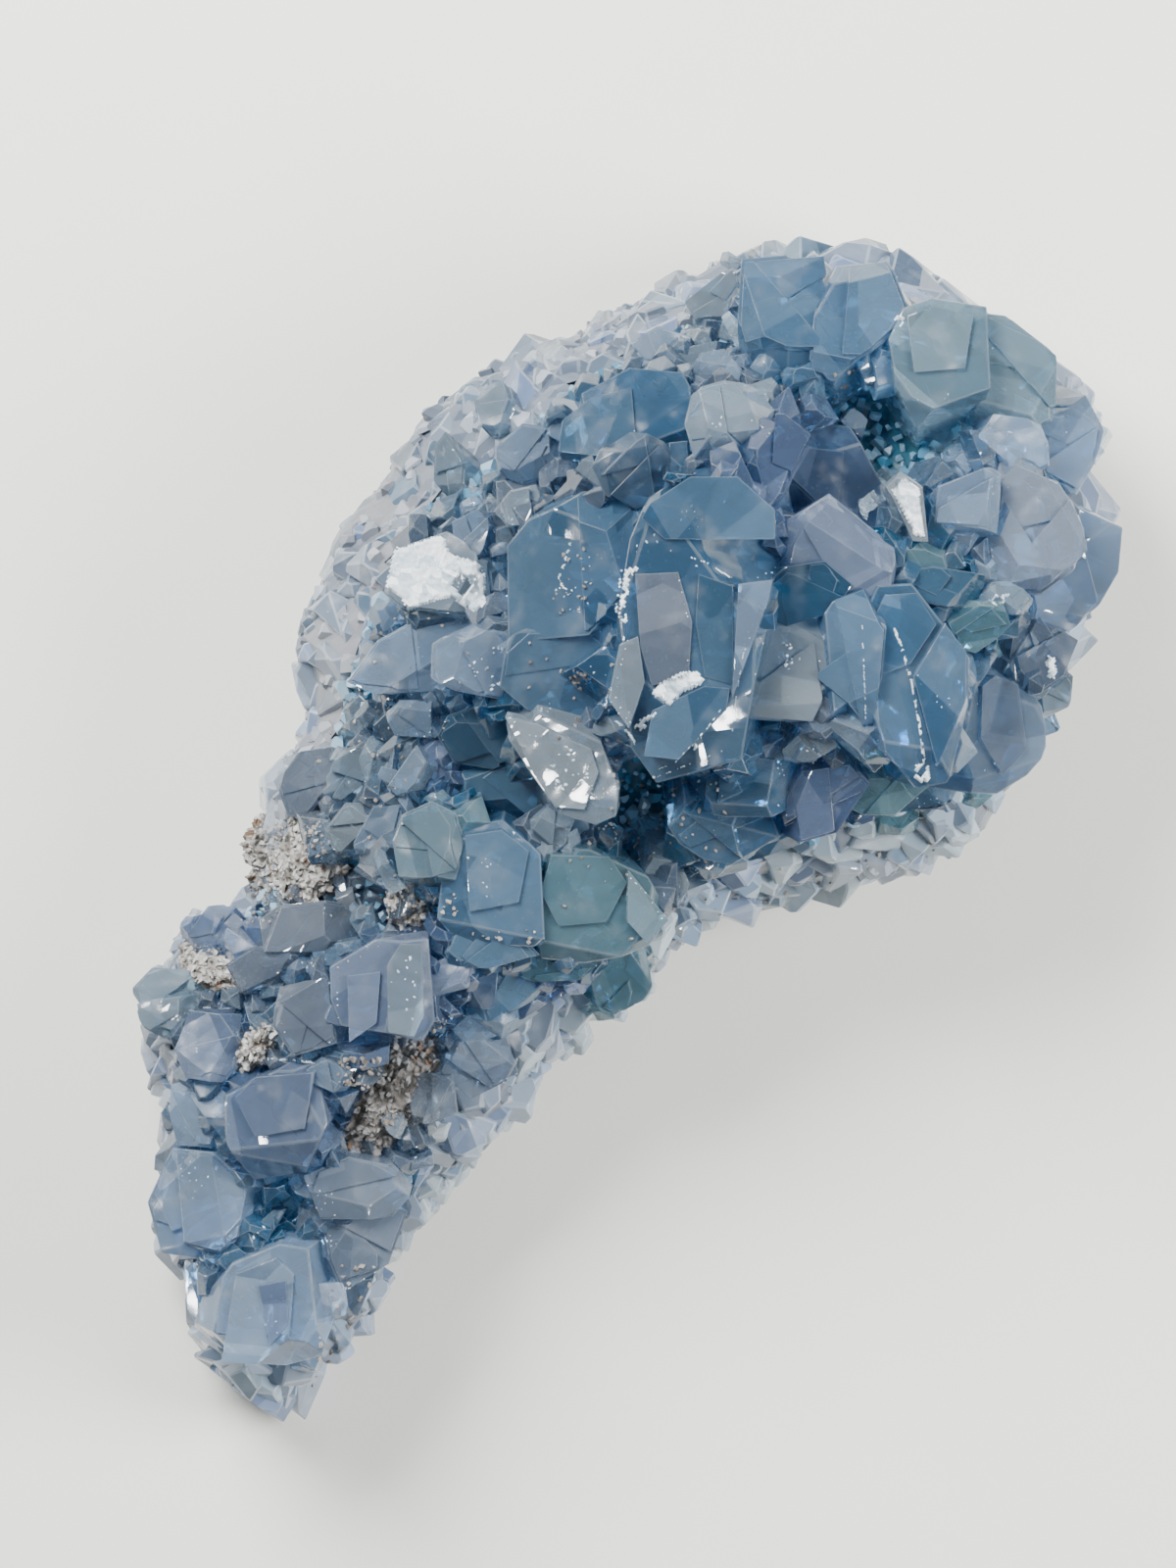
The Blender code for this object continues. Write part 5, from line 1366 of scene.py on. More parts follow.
def cloud_group():
    """Soft patches: a mask that is 0 in the clear and 1 in the milky places."""
    tree = Group("Milky clouds", "ShaderNodeTree", {"Scale": 150.0, "Low": 0.45, "High": 0.7},
                 {"Mask": "Float"})
    place = tree.node("ShaderNodeTexCoord").outputs["Object"]
    cloud = tree.node("ShaderNodeTexNoise", {
        "Vector": place, "Scale": tree.given["Scale"], "Detail": 2.0, "Roughness": 0.6})
    span = tree.node("ShaderNodeMapRange", interpolation_type="SMOOTHSTEP")
    tree.feed(span, {"Value": cloud.outputs["Fac"], "From Min": tree.given["Low"],
                     "From Max": tree.given["High"]})
    return tree.give(Mask=span.outputs["Result"])


def dust_group():
    """Fine specks, thicker in some places than in others."""
    tree = Group("Dust specks", "ShaderNodeTree", {"Scale": 1500.0, "Amount": 0.2, "Patch scale": 90.0},
                 {"Mask": "Float"})
    place = tree.node("ShaderNodeTexCoord").outputs["Object"]
    speck = tree.node("ShaderNodeTexVoronoi", {"Vector": place, "Scale": tree.given["Scale"]}, feature="F1")
    patch = tree.node("ShaderNodeTexNoise", {
        "Vector": place, "Scale": tree.given["Patch scale"], "Detail": 0.0})
    span = tree.node("ShaderNodeMapRange", {
        "Value": patch.outputs["Fac"], "From Min": 0.42, "From Max": 0.75})
    reach = tree.math("MULTIPLY", span.outputs["Result"], tree.given["Amount"])
    return tree.give(Mask=tree.math("LESS_THAN", speck.outputs["Distance"], reach))


def turned_place(tree, axis, **stretch):
    """Object coordinates, turned about an axis by a crystal's own number, then stretched."""
    place = tree.node("ShaderNodeTexCoord").outputs["Object"]
    angle = tree.math("MULTIPLY", tree.given["Grain"], 2.0 * math.pi)
    turned = tree.node("ShaderNodeVectorRotate", {"Vector": place, "Axis": axis, "Angle": angle}).outputs[0]
    return place, tree.node("ShaderNodeMapping", {"Vector": turned, **stretch}).outputs["Vector"]


def relief_group():
    """Growth relief: fine lines, which a crystal's own number turns, over slow swells."""
    tree = Group("Growth relief", "ShaderNodeTree", {
        "Grain": 0.0, "Line scale": 900.0, "Swell scale": 260.0, "Lines": 0.35}, {"Height": "Float"})
    place, stretched = turned_place(tree, (0.2, 0.1, 1.0), Rotation=(0.5, 0.3, 0.9), Scale=(1.0, 0.12, 0.35))
    line = tree.node("ShaderNodeTexNoise", {
        "Vector": stretched, "Scale": tree.given["Line scale"], "Detail": 0.0})
    swelling = tree.node("ShaderNodeTexNoise", {
        "Vector": place, "Scale": tree.given["Swell scale"], "Detail": 0.0})
    share = tree.math("MULTIPLY", line.outputs["Fac"], tree.given["Lines"])
    return tree.give(Height=tree.math("ADD", share, swelling.outputs["Fac"]))


def cleavage_group():
    """Cleavage: flat cells in a crystal, each with a tone and a tilted face."""
    tree = Group("Cleavage", "ShaderNodeTree", {"Grain": 0.5, "Scale": 300.0, "Tilt": 0.3},
                 {"Normal": "Vector", "Tone": "Float"})
    stretched = turned_place(tree, (0.5, 0.3, 0.8), Scale=(1.0, 0.45, 0.8))[1]
    cell = tree.node("ShaderNodeTexVoronoi", {
        "Vector": stretched, "Scale": tree.given["Scale"]}, feature="F1")
    centred = tree.node("ShaderNodeVectorMath", {0: cell.outputs["Color"], 1: (0.5, 0.5, 0.5)},
                        operation="SUBTRACT")
    tilted = tree.node("ShaderNodeVectorMath", {0: centred.outputs[0], "Scale": tree.given["Tilt"]},
                       operation="SCALE")
    face = tree.node("ShaderNodeNewGeometry").outputs["Normal"]
    leaned = tree.node("ShaderNodeVectorMath", {0: face, 1: tilted.outputs[0]}, operation="ADD")
    unit = tree.node("ShaderNodeVectorMath", {0: leaned.outputs[0]}, operation="NORMALIZE")
    parts = tree.node("ShaderNodeSeparateXYZ", {0: cell.outputs["Color"]})
    return tree.give(Normal=unit.outputs[0], Tone=parts.outputs["X"])


# Materials

class Paint(Nodes):
    """A material under construction around its Principled shader."""

    def __init__(self, name):
        self.material = bpy.data.materials.new(name)
        self.material.use_nodes = True
        super().__init__(self.material.node_tree)
        self.shader = self.tree.nodes["Principled BSDF"]

    def set(self, **values):
        self.feed(self.shader, {label.replace("_", " "): value for label, value in values.items()})

    def mix(self, share, first, second):
        """A blend of two colours, each a socket or a plain colour."""
        return self.node("ShaderNodeMix", {"Factor": share, "A": first, "B": second},
                         data_type="RGBA").outputs["Result"]

    def group(self, maker, name, inputs):
        return self.node("ShaderNodeGroup", inputs,
                         node_tree=bpy.data.node_groups.get(name) or maker()).outputs

    def clouds(self, scale, low, high):
        return self.group(cloud_group, "Milky clouds", {"Scale": scale, "Low": low, "High": high})[0]

    def dust(self, amount, patch_scale, scale=1500.0):
        return self.group(dust_group, "Dust specks", {
            "Scale": scale, "Amount": amount, "Patch scale": patch_scale})[0]

    def cleavage(self, scale, tilt, grain=0.5):
        return self.group(cleavage_group, "Cleavage", {"Grain": grain, "Scale": scale, "Tilt": tilt})

    def relief(self, line_scale, swell_scale, lines, strength, distance, grain=0.0, normal=None):
        """Raises growth lines and swells on the surface, over a normal of its own if there is one."""
        height = self.group(relief_group, "Growth relief", {
            "Grain": grain, "Line scale": line_scale, "Swell scale": swell_scale, "Lines": lines})[0]
        bump = self.node("ShaderNodeBump", {"Strength": strength, "Distance": distance, "Height": height})
        if normal:
            self.feed(bump, {"Normal": normal})
        self.set(Normal=bump.outputs["Normal"])

    def rough(self, mask, span, least):
        """Roughness that rises over its least with a mask."""
        self.set(Roughness=self.math("ADD", self.math("MULTIPLY", mask, span), least))

    def absorb(self, color, density):
        node = self.node("ShaderNodeVolumeAbsorption", {"Color": color, "Density": density})
        self.feed(self.tree.nodes["Material Output"], {"Volume": node.outputs["Volume"]})


def crystal_paint(name, transmission, density, tilt=0.2, haze=0.2):
    """Celestite: clear to milky blue, flat cells inside, milky veils, satin faces."""
    paint = Paint(name)
    tint = paint.attribute("tint")
    edge = paint.attribute("edge")["Fac"]
    cells = paint.cleavage(240.0, tilt, tint["Alpha"])
    dark = paint.mix(0.4, tint["Color"], (0.0, 0.04, 0.10))
    light = paint.mix(0.14, tint["Color"], PALE_TONE_AND_EDGE_HIGHLIGHT_TINT)
    toned = paint.mix(cells["Tone"], dark, light)
    cloud = paint.clouds(340.0, 0.5, 0.78)
    milky = paint.mix(paint.math("MULTIPLY", cloud, haze), toned, WHITE_TINT)
    # Marked edges are mixed towards the pale tint: painted highlight and wear
    paint.set(Base_Color=paint.mix(paint.math("MULTIPLY", edge, 0.28), milky, PALE_TONE_AND_EDGE_HIGHLIGHT_TINT))
    paint.rough(cloud, 0.2, 0.06)
    paint.relief(900.0, 420.0, 0.6, 0.4, 0.0004, tint["Alpha"], cells["Normal"])
    paint.set(IOR=1.6, Specular_IOR_Level=0.5, Transmission_Weight=transmission, Metallic=0.0)
    if density:
        paint.absorb((0.3, 0.68, 0.9), density)
    return paint.material


def fracture_paint():
    """Crushed and fractured places, and painted highlights: white, glittering."""
    paint = Paint("Fracture")
    cells = paint.cleavage(1700.0, 0.5)
    paint.set(Base_Color=paint.mix(cells["Tone"], (0.50, 0.62, 0.71), (0.90, 0.95, 0.97)),
              Normal=cells["Normal"], IOR=1.6, Transmission_Weight=0.15, Coat_Weight=0.3,
              Coat_Roughness=0.1, Metallic=0.0)
    paint.rough(cells["Tone"], 0.25, 0.12)
    return paint.material


def grit_paint():
    """Loose dust and grit: tan, brown and white grains."""
    paint = Paint("Grit")
    cloud = paint.clouds(900.0, 0.4, 0.6)
    base = paint.mix(paint.attribute("tone")["Fac"], (0.055, 0.045, 0.037), (0.30, 0.27, 0.24))
    paint.set(Base_Color=paint.mix(paint.math("MULTIPLY", cloud, 0.25), base, (0.62, 0.62, 0.60)))
    paint.rough(cloud, 0.2, 0.6)
    return paint.material


def rind_paint():
    """The sugary rind: pale grey-blue and half clear, each grain a little different."""
    paint = Paint("Rind")
    base = paint.mix(paint.attribute("tone")["Fac"], (0.10, 0.13, 0.18), (0.34, 0.39, 0.46))
    cloud = paint.clouds(70.0, 0.45, 0.65)
    stained = paint.mix(paint.math("MULTIPLY", cloud, 0.25), base, (0.55, 0.50, 0.46))
    dust = paint.math("MULTIPLY", paint.dust(0.3, 110.0), 0.5)
    paint.set(Base_Color=paint.mix(dust, stained, (0.38, 0.31, 0.24)), IOR=1.55, Transmission_Weight=0.15,
              Coat_Weight=0.25, Coat_Roughness=0.1, Metallic=0.0)
    paint.rough(cloud, 0.2, 0.22)
    paint.relief(1500.0, 800.0, 0.4, 0.3, 0.0003)
    return paint.material


def marl_paint(name, dark, light, crumb):
    """Host rock: dull grey-brown with white and dark grit."""
    paint = Paint(name)
    cloud = paint.clouds(700.0, 0.35, 0.65)
    tone = paint.math("MULTIPLY", paint.attribute("tone")["Fac"], 0.5)
    toned = paint.mix(tone, paint.mix(cloud, dark, light), crumb)
    paint.set(Base_Color=paint.mix(paint.dust(0.5, 300.0, 1400.0), toned, (0.16, 0.11, 0.08)))
    paint.rough(cloud, 0.1, 0.85)
    paint.relief(2500.0, 2200.0, 0.6, 0.8, 0.0005)
    return paint.material


def floor_paint():
    """A plain pale sheet."""
    paint = Paint("Pale sheet")
    cloud = paint.clouds(40.0, 0.3, 0.7)
    paint.set(Base_Color=paint.mix(cloud, (0.81, 0.815, 0.755), (0.83, 0.835, 0.775)))
    paint.rough(cloud, 0.05, 0.6)
    return paint.material


def druse_paint():
    """Small crystals of the bed: clearer and bluer than the rind, their own blue darkened as painted shade
    of the gaps they fill.
    """
    paint = Paint("Druse")
    tone = paint.attribute("tone")["Fac"]
    # The druse's own blue, darkened as painted shade in the gaps between the large crystals
    base = paint.mix(tone, (0.06, 0.24, 0.39), (0.36, 0.52, 0.64))
    dust = paint.math("MULTIPLY", paint.dust(0.3, 90.0), 0.6)
    paint.set(Base_Color=paint.mix(dust, base, (0.50, 0.43, 0.33)), IOR=1.6, Transmission_Weight=0.3,
              Coat_Weight=0.3, Coat_Roughness=0.1, Metallic=0.0)
    paint.rough(tone, 0.2, 0.15)
    paint.relief(1500.0, 600.0, 0.4, 0.3, 0.0003)
    return paint.material


# The bed between the crystals

def bed_surface(ground):
    """The open ground between the crystals, with how much of it small crystals cover."""
    outlines = [[plan(*corner) for corner in spec[0]] for spec in CRYSTALS.values()]
    bm = bmesh.new()
    cover, size = vertex_layers(bm, "cover", "size")
    rows = []
    for i in range(BED_STATIONS):
        x = ground.field_low_x + (ground.field_high_x - ground.field_low_x) * (i + 0.5) / BED_STATIONS
        low_y, high_y = crossings(ground.field, x)
        row = []
        for j in range(BED_STEPS + 1):
            y = low_y + (high_y - low_y) * j / BED_STEPS
            vert = bm.verts.new((x * METRES, y * METRES, (ground.bed(x, y) + BED_RAISE) * METRES))
            vert[cover] = 0.0 if any(inside((x, y), outline) for outline in outlines) else 1.0
            vert[size] = 0.8 + 0.9 * max(noise.noise(Vector((x, y, 3.0)) / 4.0), -0.4)
            row.append(vert)
        rows.append(row)
    for row, following in zip(rows, rows[1:]):
        for j in range(BED_STEPS):
            bm.faces.new((row[j], following[j], following[j + 1], row[j + 1]))
    return meshed("bed", bm)


# Host rock

def marl(name, ground, middle, half, turn, bulge):
    """A crumbly lump, rough at several sizes, sunk in the ground."""
    x0, y0 = plan(*middle)
    long_way = heading(turn)
    wide_way = heading(turn + 90)
    bm = bmesh.new()
    bmesh.ops.create_icosphere(bm, subdivisions=5, radius=1.0)
    cover, size = vertex_layers(bm, "cover", "size")
    for vert in bm.verts:
        out = vert.co.normalized()
        rough = 0.0
        scale = 1.1
        share = 0.24
        for _ in range(4):
            rough += share * noise.noise(out * scale * 3.0 + Vector((x0, y0, 0.0)))
            scale *= 2.1
            share *= 0.66
        vert.co = out * (1.0 + rough)
        spot = (long_way * vert.co.x * half[0] * MM_PER_PIXEL
                + wide_way * vert.co.y * half[1] * MM_PER_PIXEL)
        x, y = x0 + spot.x, y0 + spot.y
        lift = MARL_THICKNESS * vert.co.z
        vert.co = kept_inside(Vector((x, y, ground.bed(x, y) + bulge - MARL_THICKNESS + lift)), 0.6)
        vert[cover] = 1.0 if out.z > -0.1 else 0.0
        vert[size] = 1.0
    return finished(name, bm)


# Fractures, painted highlights, growth lines and grit, laid on what has grown

def band(path, width):
    """The outline, in the photograph, of a line of some width."""
    left, right = [], []
    for i, (px, py) in enumerate(path):
        ax, ay = path[max(i - 1, 0)]
        bx, by = path[min(i + 1, len(path) - 1)]
        along = math.hypot(bx - ax, by - ay)
        aside_x, aside_y = -(by - ay) / along * width / 2.0, (bx - ax) / along * width / 2.0
        left.append((px + aside_x, py + aside_y))
        right.append((px - aside_x, py - aside_y))
    return left + right[::-1]


def draped(height, outline, pitch, share=1.0, hole=()):
    """The places of a grid within an outline, with the height there, some left out to break it up."""
    corners = [plan(*corner) for corner in outline]
    pit = [plan(*corner) for corner in hole]
    low_x, low_y = (min(corner[axis] for corner in corners) for axis in (0, 1))
    high_x, high_y = (max(corner[axis] for corner in corners) for axis in (0, 1))
    spots = {}
    for i in range(int((high_x - low_x) / pitch) + 2):
        for j in range(int((high_y - low_y) / pitch) + 2):
            x, y = low_x + i * pitch, low_y + j * pitch
            if not inside((x, y), corners) or (pit and inside((x, y), pit)):
                continue
            if 0.5 + noise.noise(Vector((x, y, 0.0)) / PATCH_GRAIN) > share:
                continue
            here = height(x, y)
            if here is not None:
                spots[i, j] = (x, y, here)
    return spots


def sheet(spots, lift):
    """An open skin through draped places, lifted within its rim, broken where the ground steps."""
    bm = bmesh.new()
    verts = {}
    for (i, j), (x, y, here) in spots.items():
        within = all((i + di, j + dj) in spots for di in (-1, 0, 1) for dj in (-1, 0, 1))
        verts[i, j] = bm.verts.new((x, y, here + (lift if within else lift * 0.2)))
    for i, j in spots:
        corners = [(i, j), (i + 1, j), (i + 1, j + 1), (i, j + 1)]
        if not all(corner in spots for corner in corners):
            continue
        heights = [spots[corner][2] for corner in corners]
        if max(heights) - min(heights) < PATCH_STEP:
            bm.faces.new([verts[corner] for corner in corners])
    bmesh.ops.delete(bm, geom=[vert for vert in bm.verts if not vert.link_faces], context="VERTS")
    return bm


def patch(height, outline, share, thickness=PATCH_THICKNESS, pitch=PATCH_PITCH, hole=()):
    """A thin rough crust on the crystals, closed underneath."""
    bm = sheet(draped(height, outline, pitch, share, hole), thickness)
    for vert in bm.verts:
        vert.co.z += thickness * 0.6 * noise.noise(vert.co / (pitch * 2.5))
    under = bmesh.ops.extrude_face_region(bm, geom=bm.faces[:], use_keep_orig=True)
    low = [item for item in under["geom"] if isinstance(item, bmesh.types.BMVert)]
    bmesh.ops.translate(bm, verts=low, vec=(0, 0, -PATCH_DEPTH))
    return finished("patch", bm)


def strewn_ground(height, places):
    """The places that small pieces lie on, with how thickly and how large, as one open skin."""
    parts = []
    for outline, share, scale in places:
        part = sheet(draped(height, outline, PATCH_PITCH * 2.0), 0.05)
        cover, size = vertex_layers(part, "cover", "size")
        for vert in part.verts:
            vert[cover] = share
            vert[size] = scale
        parts.append(meshed("part", part))
    ground = bmesh.new()
    ground.from_mesh(gathered("parts", parts))
    bmesh.ops.scale(ground, vec=(METRES,) * 3, verts=ground.verts[:])
    return meshed("strewn_ground", ground)


def gathered(name, meshes):
    """One mesh from many that stay apart."""
    bm = bmesh.new()
    for mesh in meshes:
        bm.from_mesh(mesh)
        bpy.data.meshes.remove(mesh)
    return meshed(name, bm)


def upward(mesh, least):
    """A copy of a mesh on which small pieces may sit wherever it looks up."""
    copy = mesh.copy()
    cover = copy.attributes.new("cover", "FLOAT", "CORNER")
    size = copy.attributes.new("size", "FLOAT", "POINT")
    for face in copy.polygons:
        for i in face.loop_indices:
            cover.data[i].value = 1.0 if face.normal.z > least else 0.0
    size.data.foreach_set("value", [1.0] * len(copy.vertices))
    return copy


def grown(name):
    """The mesh of a piece that an earlier step built."""
    piece = bpy.data.objects.get(name)
    if piece is None:
        raise RuntimeError(name + " is built first")
    return piece.data


# Settings that a user would change

class CelestiteCrystals(bpy.types.PropertyGroup):
    """The blue crystals and what lies between and on them."""

    seed: bpy.props.IntProperty(
        name="Seed", description="Chooses the chips and growth layers", default=3, min=0)
    druse_spacing: bpy.props.FloatProperty(
        name="Druse spacing", description="Least distance between the small crystals of the bed",
        default=0.00085, min=0.0002, subtype="DISTANCE", unit="LENGTH")
    fleck_spacing: bpy.props.FloatProperty(
        name="Fleck spacing", description="Least distance between the white flecks on the crystals",
        default=0.0004, min=0.0002, subtype="DISTANCE", unit="LENGTH")
    grit_spacing: bpy.props.FloatProperty(
        name="Grit spacing", description="Least distance between the grains of dust",
        default=0.00028, min=0.0001, subtype="DISTANCE", unit="LENGTH")


class CelestiteRind(bpy.types.PropertyGroup):
    """The sugary rind."""

    seed: bpy.props.IntProperty(
        name="Seed", description="Chooses the crystals of the flanks", default=8, min=0)
    grain_spacing: bpy.props.FloatProperty(
        name="Grain spacing", description="Least distance between the rind's grains",
        default=0.001, min=0.0002, subtype="DISTANCE", unit="LENGTH")


class CelestiteStage(bpy.types.PropertyGroup):
    """Floor, light and camera."""

    camera_height: bpy.props.FloatProperty(
        name="Camera height", description="Height of the camera over the floor",
        default=0.9, min=0.3, subtype="DISTANCE", unit="LENGTH")
    sky: bpy.props.FloatProperty(
        name="Sky strength", description="Strength of the even light from all round", default=0.31, min=0.0)
    key: bpy.props.FloatProperty(
        name="Window power", description="Power of the soft light from the upper left",
        default=6.1, min=0.0, subtype="POWER", unit="POWER")
    fill: bpy.props.FloatProperty(
        name="Second window power", description="Power of the soft light from the right",
        default=4.3, min=0.0, subtype="POWER", unit="POWER")
    card: bpy.props.FloatProperty(
        name="Card power", description="Power of the broad light that only the sloping faces mirror",
        default=0.45, min=0.0, subtype="POWER", unit="POWER")
    glint: bpy.props.FloatProperty(
        name="Glint power", description="Power of the small lights that only the faces mirror",
        default=1.2, min=0.0, subtype="POWER", unit="POWER")


# Pieces

class CELESTITE_OT_crystals(bpy.types.Operator):
    """Build the joined crystals on their bed"""

    bl_idname = "celestite.crystals"
    bl_label = "Crystals"

    def execute(self, context):
        ground = Ground()
        draw = random.Random(context.scene.celestite_crystals.seed)
        blocks = []
        named = [(spec, PLATES.get(name, ())) for name, spec in CRYSTALS.items()]
        for spec, plates in named + [(spec, ()) for spec in filler_specs()]:
            blocks += crystal(ground, draw, spec, plates)
            blocks += companions(ground, draw, spec)
        mesh = joined(lining(ground), blocks)
        for depth, spacing, sizes in GAP_ROUNDS:
            mesh = joined(mesh, gap_crystals(ground, draw, mesh, depth, spacing, sizes))
        show("crystals_grown", mesh, crystal_paint("Celestite", 0.79, 90.0), "crystal", "crystals")
        return {"FINISHED"}


class CELESTITE_OT_druse(bpy.types.Operator):
    """Grow small crystals on the bed between the large ones"""

    bl_idname = "celestite.druse"
    bl_label = "Small crystals"

    def execute(self, context):
        choice = context.scene.celestite_crystals
        paint = druse_paint()
        blocks = grown_blocks("druse_block", 41, 5, 0.9, 0.55, 1.1)
        mesh = scattered(bed_surface(Ground()), blocks, paint, spacing=choice.druse_spacing, smallest=0.35,
                         largest=1.0, lean=0.75, seed=5)
        show("crystals_small", mesh, paint, "crystal")
        return {"FINISHED"}


class CELESTITE_OT_rind(bpy.types.Operator):
    """Build the rind, its grains and the crystals of its flanks"""

    bl_idname = "celestite.rind"
    bl_label = "Rind"

    def execute(self, context):
        choice = context.scene.celestite_rind
        ground = Ground()
        paint = rind_paint()
        blocks = grown_blocks("grain_block", 17, 5, 0.9, 0.6, 0.8)
        mesh = scattered(rind_skin(ground), blocks, paint, keep=True, spacing=choice.grain_spacing,
                         smallest=0.35, largest=0.9, lean=0.8, seed=2)
        show("rind_grown", mesh, paint, "rind", "rind")
        shingles = flank_crystals(ground, random.Random(choice.seed))
        paint = crystal_paint("Milky celestite", 0.5, 0.0, 0.25, 0.25)
        show("rind_crystals", joined(shingles[0], shingles[1:]), paint, "rind")
        return {"FINISHED"}


class CELESTITE_OT_marl(bpy.types.Operator):
    """Build the crumbs of host rock"""

    bl_idname = "celestite.marl"
    bl_label = "Host rock"

    def execute(self, context):
        ground = Ground()
        pale = marl_paint("Pale host rock", (0.14, 0.125, 0.11), (0.38, 0.37, 0.35), (0.62, 0.63, 0.62))
        dark = marl_paint("Dark host rock", (0.05, 0.046, 0.042), (0.17, 0.16, 0.15), (0.36, 0.37, 0.38))
        for name, place in MARL_PATCHES.items():
            paint = dark if name == "marl_tail_middle" else pale
            crumbs = grown_blocks("crumb", 23, 4, 0.8, 0.7, 0.7)
            mesh = scattered(marl(name, ground, **place), crumbs, paint, keep=True, spacing=0.0004,
                             smallest=0.12, largest=0.42, lean=1.2, seed=6)
            show(name + "_rough", mesh, paint, "marl", name)
        return {"FINISHED"}


class CELESTITE_OT_fractures(bpy.types.Operator):
    """Lay crushed places, painted highlights, growth lines and white flecks on the crystals"""

    bl_idname = "celestite.fractures"
    bl_label = "Fractures"

    def execute(self, context):
        crystals = grown("crystals_grown")
        height = height_over(crystals)
        paint = fracture_paint()
        crusts = [patch(height, outline, share, hole=DIAMOND_PIT if name == "flashing_block" else ())
                  for name, (outline, share) in FRACTURES.items() if share >= SOLID_SHARE]
        show("fractures", gathered("fractures", crusts), paint, "crystal")
        # Growth lines, and bright edges as white bands: painted highlight
        lines = [patch(height, band(path, width), LINE_SHARE, LINE_THICKNESS, PATCH_PITCH / 2.0)
                 for path, width in GROWTH_LINES]
        show("growth_lines", gathered("growth_lines", lines), paint, "crystal")
        # White flecks on the faces that look up: white chips, and painted sparkle
        flecks = grown_blocks("fleck", 31, 4, 0.8, 0.45, 0.25)
        spacing = context.scene.celestite_crystals.fleck_spacing
        strewn = scattered(upward(crystals, 0.35), flecks, paint, spacing=spacing, smallest=0.05,
                           largest=0.15, lean=0.5, clump_scale=260.0, clump_limit=0.66, seed=12)
        broken = [(outline, share, 1.0) for outline, share in FRACTURES.values()]
        flecks = grown_blocks("fleck", 32, 4, 0.8, 0.4, 0.2)
        crushed = scattered(strewn_ground(height, broken), flecks, paint, spacing=spacing * 0.5,
                            smallest=0.08, largest=0.26, lean=0.5, seed=14)
        show("flecks", gathered("flecks", [strewn, crushed]), paint, "crystal")
        return {"FINISHED"}


class CELESTITE_OT_grit(bpy.types.Operator):
    """Strew dust and grit"""

    bl_idname = "celestite.grit"
    bl_label = "Grit"

    def execute(self, context):
        paint = grit_paint()
        height = height_over(grown("crystals_grown"), grown("rind_grown"), grown("rind_crystals"))
        grains = grown_blocks("grit_grain", 37, 4, 0.8, 0.7, 0.6)
        mesh = scattered(strewn_ground(height, GRIT), grains, paint,
                         spacing=context.scene.celestite_crystals.grit_spacing, smallest=0.06, largest=0.24,
                         lean=1.2, seed=3)
        show("grit", mesh, paint, "marl")
        return {"FINISHED"}


class CELESTITE_OT_stage(bpy.types.Operator):
    """Set the floor, the lights and the camera"""

    bl_idname = "celestite.stage"
    bl_label = "Stage"

    def execute(self, context):
        choice = context.scene.celestite_stage
        bm = bmesh.new()
        bmesh.ops.create_grid(bm, x_segments=1, y_segments=1, size=FLOOR_HALF)
        bmesh.ops.translate(bm, vec=(0, 0, -FLOOR_DROP), verts=bm.verts[:])
        mesh = meshed("floor", bm)
        mesh.materials.append(floor_paint())
        floor = bpy.data.objects.new("floor", mesh)
        context.scene.collection.objects.link(floor)

        world = bpy.data.worlds.new("Studio")
        world.use_nodes = True
        sky = world.node_tree.nodes["Background"]
        sky.inputs["Color"].default_value = SKY_COLOR
        sky.inputs["Strength"].default_value = choice.sky
        context.scene.world = world
        area_light("window", *WINDOW, choice.key, mirrored=False)
        area_light("second window", *SECOND_WINDOW, choice.fill, mirrored=False)
        area_light("card", *CARD, choice.card, lit=False)
        for i, way in enumerate(GLINTS):
            area_light("glint %d" % i, way, GLINT_SIZE, GLINT_AWAY, choice.glint, lit=False)

        lens = bpy.data.cameras.new("camera")
        lens.sensor_fit = "VERTICAL"
        lens.sensor_height = SENSOR
        aimed = choice.camera_height - AIM_HEIGHT * METRES
        lens.lens = lens.sensor_height * aimed / (PHOTO_SIZE[1] * MM_PER_PIXEL * METRES)
        lens.clip_start = 0.01
        camera = bpy.data.objects.new("camera", lens)
        x, y = plan(PHOTO_SIZE[0] / 2, PHOTO_SIZE[1] / 2)
        right, up = heading(0), heading(90)
        turn = Matrix((right, up, Vector((0, 0, 1)))).transposed()
        camera.matrix_world = Matrix.LocRotScale(
            Vector((x * METRES, y * METRES, choice.camera_height)), turn.to_quaternion(), None)
        context.scene.collection.objects.link(camera)
        context.scene.camera = camera
        return {"FINISHED"}


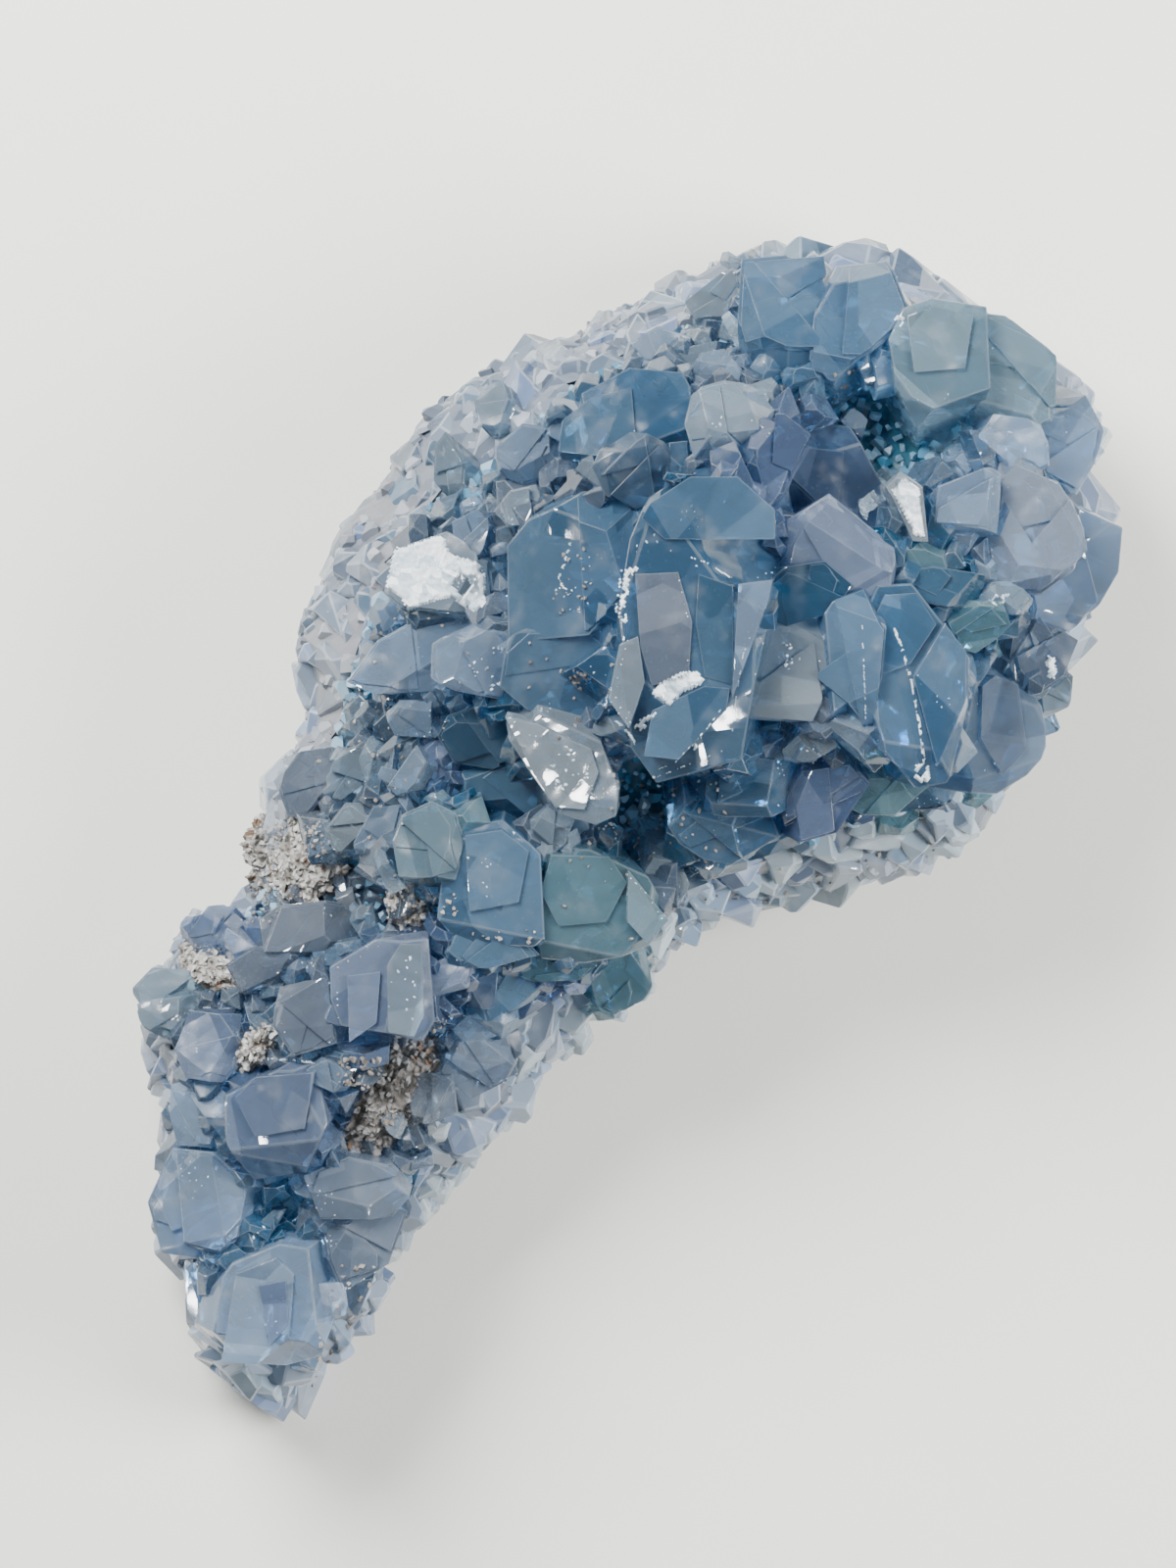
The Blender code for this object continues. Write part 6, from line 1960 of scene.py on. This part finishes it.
def area_light(name, way, size, away, power, lit=True, mirrored=True):
    """A square light that looks at the specimen from a direction (photograph degrees, height)."""
    direction, height = way
    climb = math.radians(height)
    place = heading(direction) * math.cos(climb) + Vector((0, 0, math.sin(climb)))
    light = bpy.data.lights.new(name, "AREA")
    light.size = size
    light.energy = power
    lamp = bpy.data.objects.new(name, light)
    lamp.location = place * away
    lamp.rotation_euler = place.to_track_quat("Z", "Y").to_euler()
    lamp.visible_diffuse = lit
    lamp.visible_transmission = lit
    lamp.visible_glossy = mirrored
    bpy.context.scene.collection.objects.link(lamp)


class CELESTITE_PT_panel(bpy.types.Panel):
    """The cluster's settings and its pieces"""

    bl_label = "Celestite cluster"
    bl_idname = "CELESTITE_PT_panel"
    bl_space_type = "VIEW_3D"
    bl_region_type = "UI"
    bl_category = "Celestite"

    def draw(self, context):
        for owner in ("celestite_crystals", "celestite_rind", "celestite_stage"):
            settings = getattr(context.scene, owner)
            box = self.layout.box()
            for name in settings.__annotations__:
                box.prop(settings, name)
        for operator in OPERATORS:
            self.layout.operator(operator.bl_idname)


SETTINGS = (CelestiteCrystals, CelestiteRind, CelestiteStage)
OPERATORS = (CELESTITE_OT_stage, CELESTITE_OT_rind, CELESTITE_OT_crystals, CELESTITE_OT_druse,
             CELESTITE_OT_marl, CELESTITE_OT_fractures, CELESTITE_OT_grit)


def register():
    for item in SETTINGS + OPERATORS + (CELESTITE_PT_panel,):
        bpy.utils.register_class(item)
    bpy.types.Scene.celestite_crystals = bpy.props.PointerProperty(type=CelestiteCrystals)
    bpy.types.Scene.celestite_rind = bpy.props.PointerProperty(type=CelestiteRind)
    bpy.types.Scene.celestite_stage = bpy.props.PointerProperty(type=CelestiteStage)


def unregister():
    for name in ("celestite_crystals", "celestite_rind", "celestite_stage"):
        delattr(bpy.types.Scene, name)
    for item in reversed(SETTINGS + OPERATORS + (CELESTITE_PT_panel,)):
        bpy.utils.unregister_class(item)


def main():
    """Builds every piece."""
    register()
    bpy.ops.celestite.stage()
    bpy.ops.celestite.rind()
    bpy.ops.celestite.crystals()
    bpy.ops.celestite.druse()
    bpy.ops.celestite.marl()
    bpy.ops.celestite.fractures()
    bpy.ops.celestite.grit()
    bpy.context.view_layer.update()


if __name__ == "__main__":
    main()
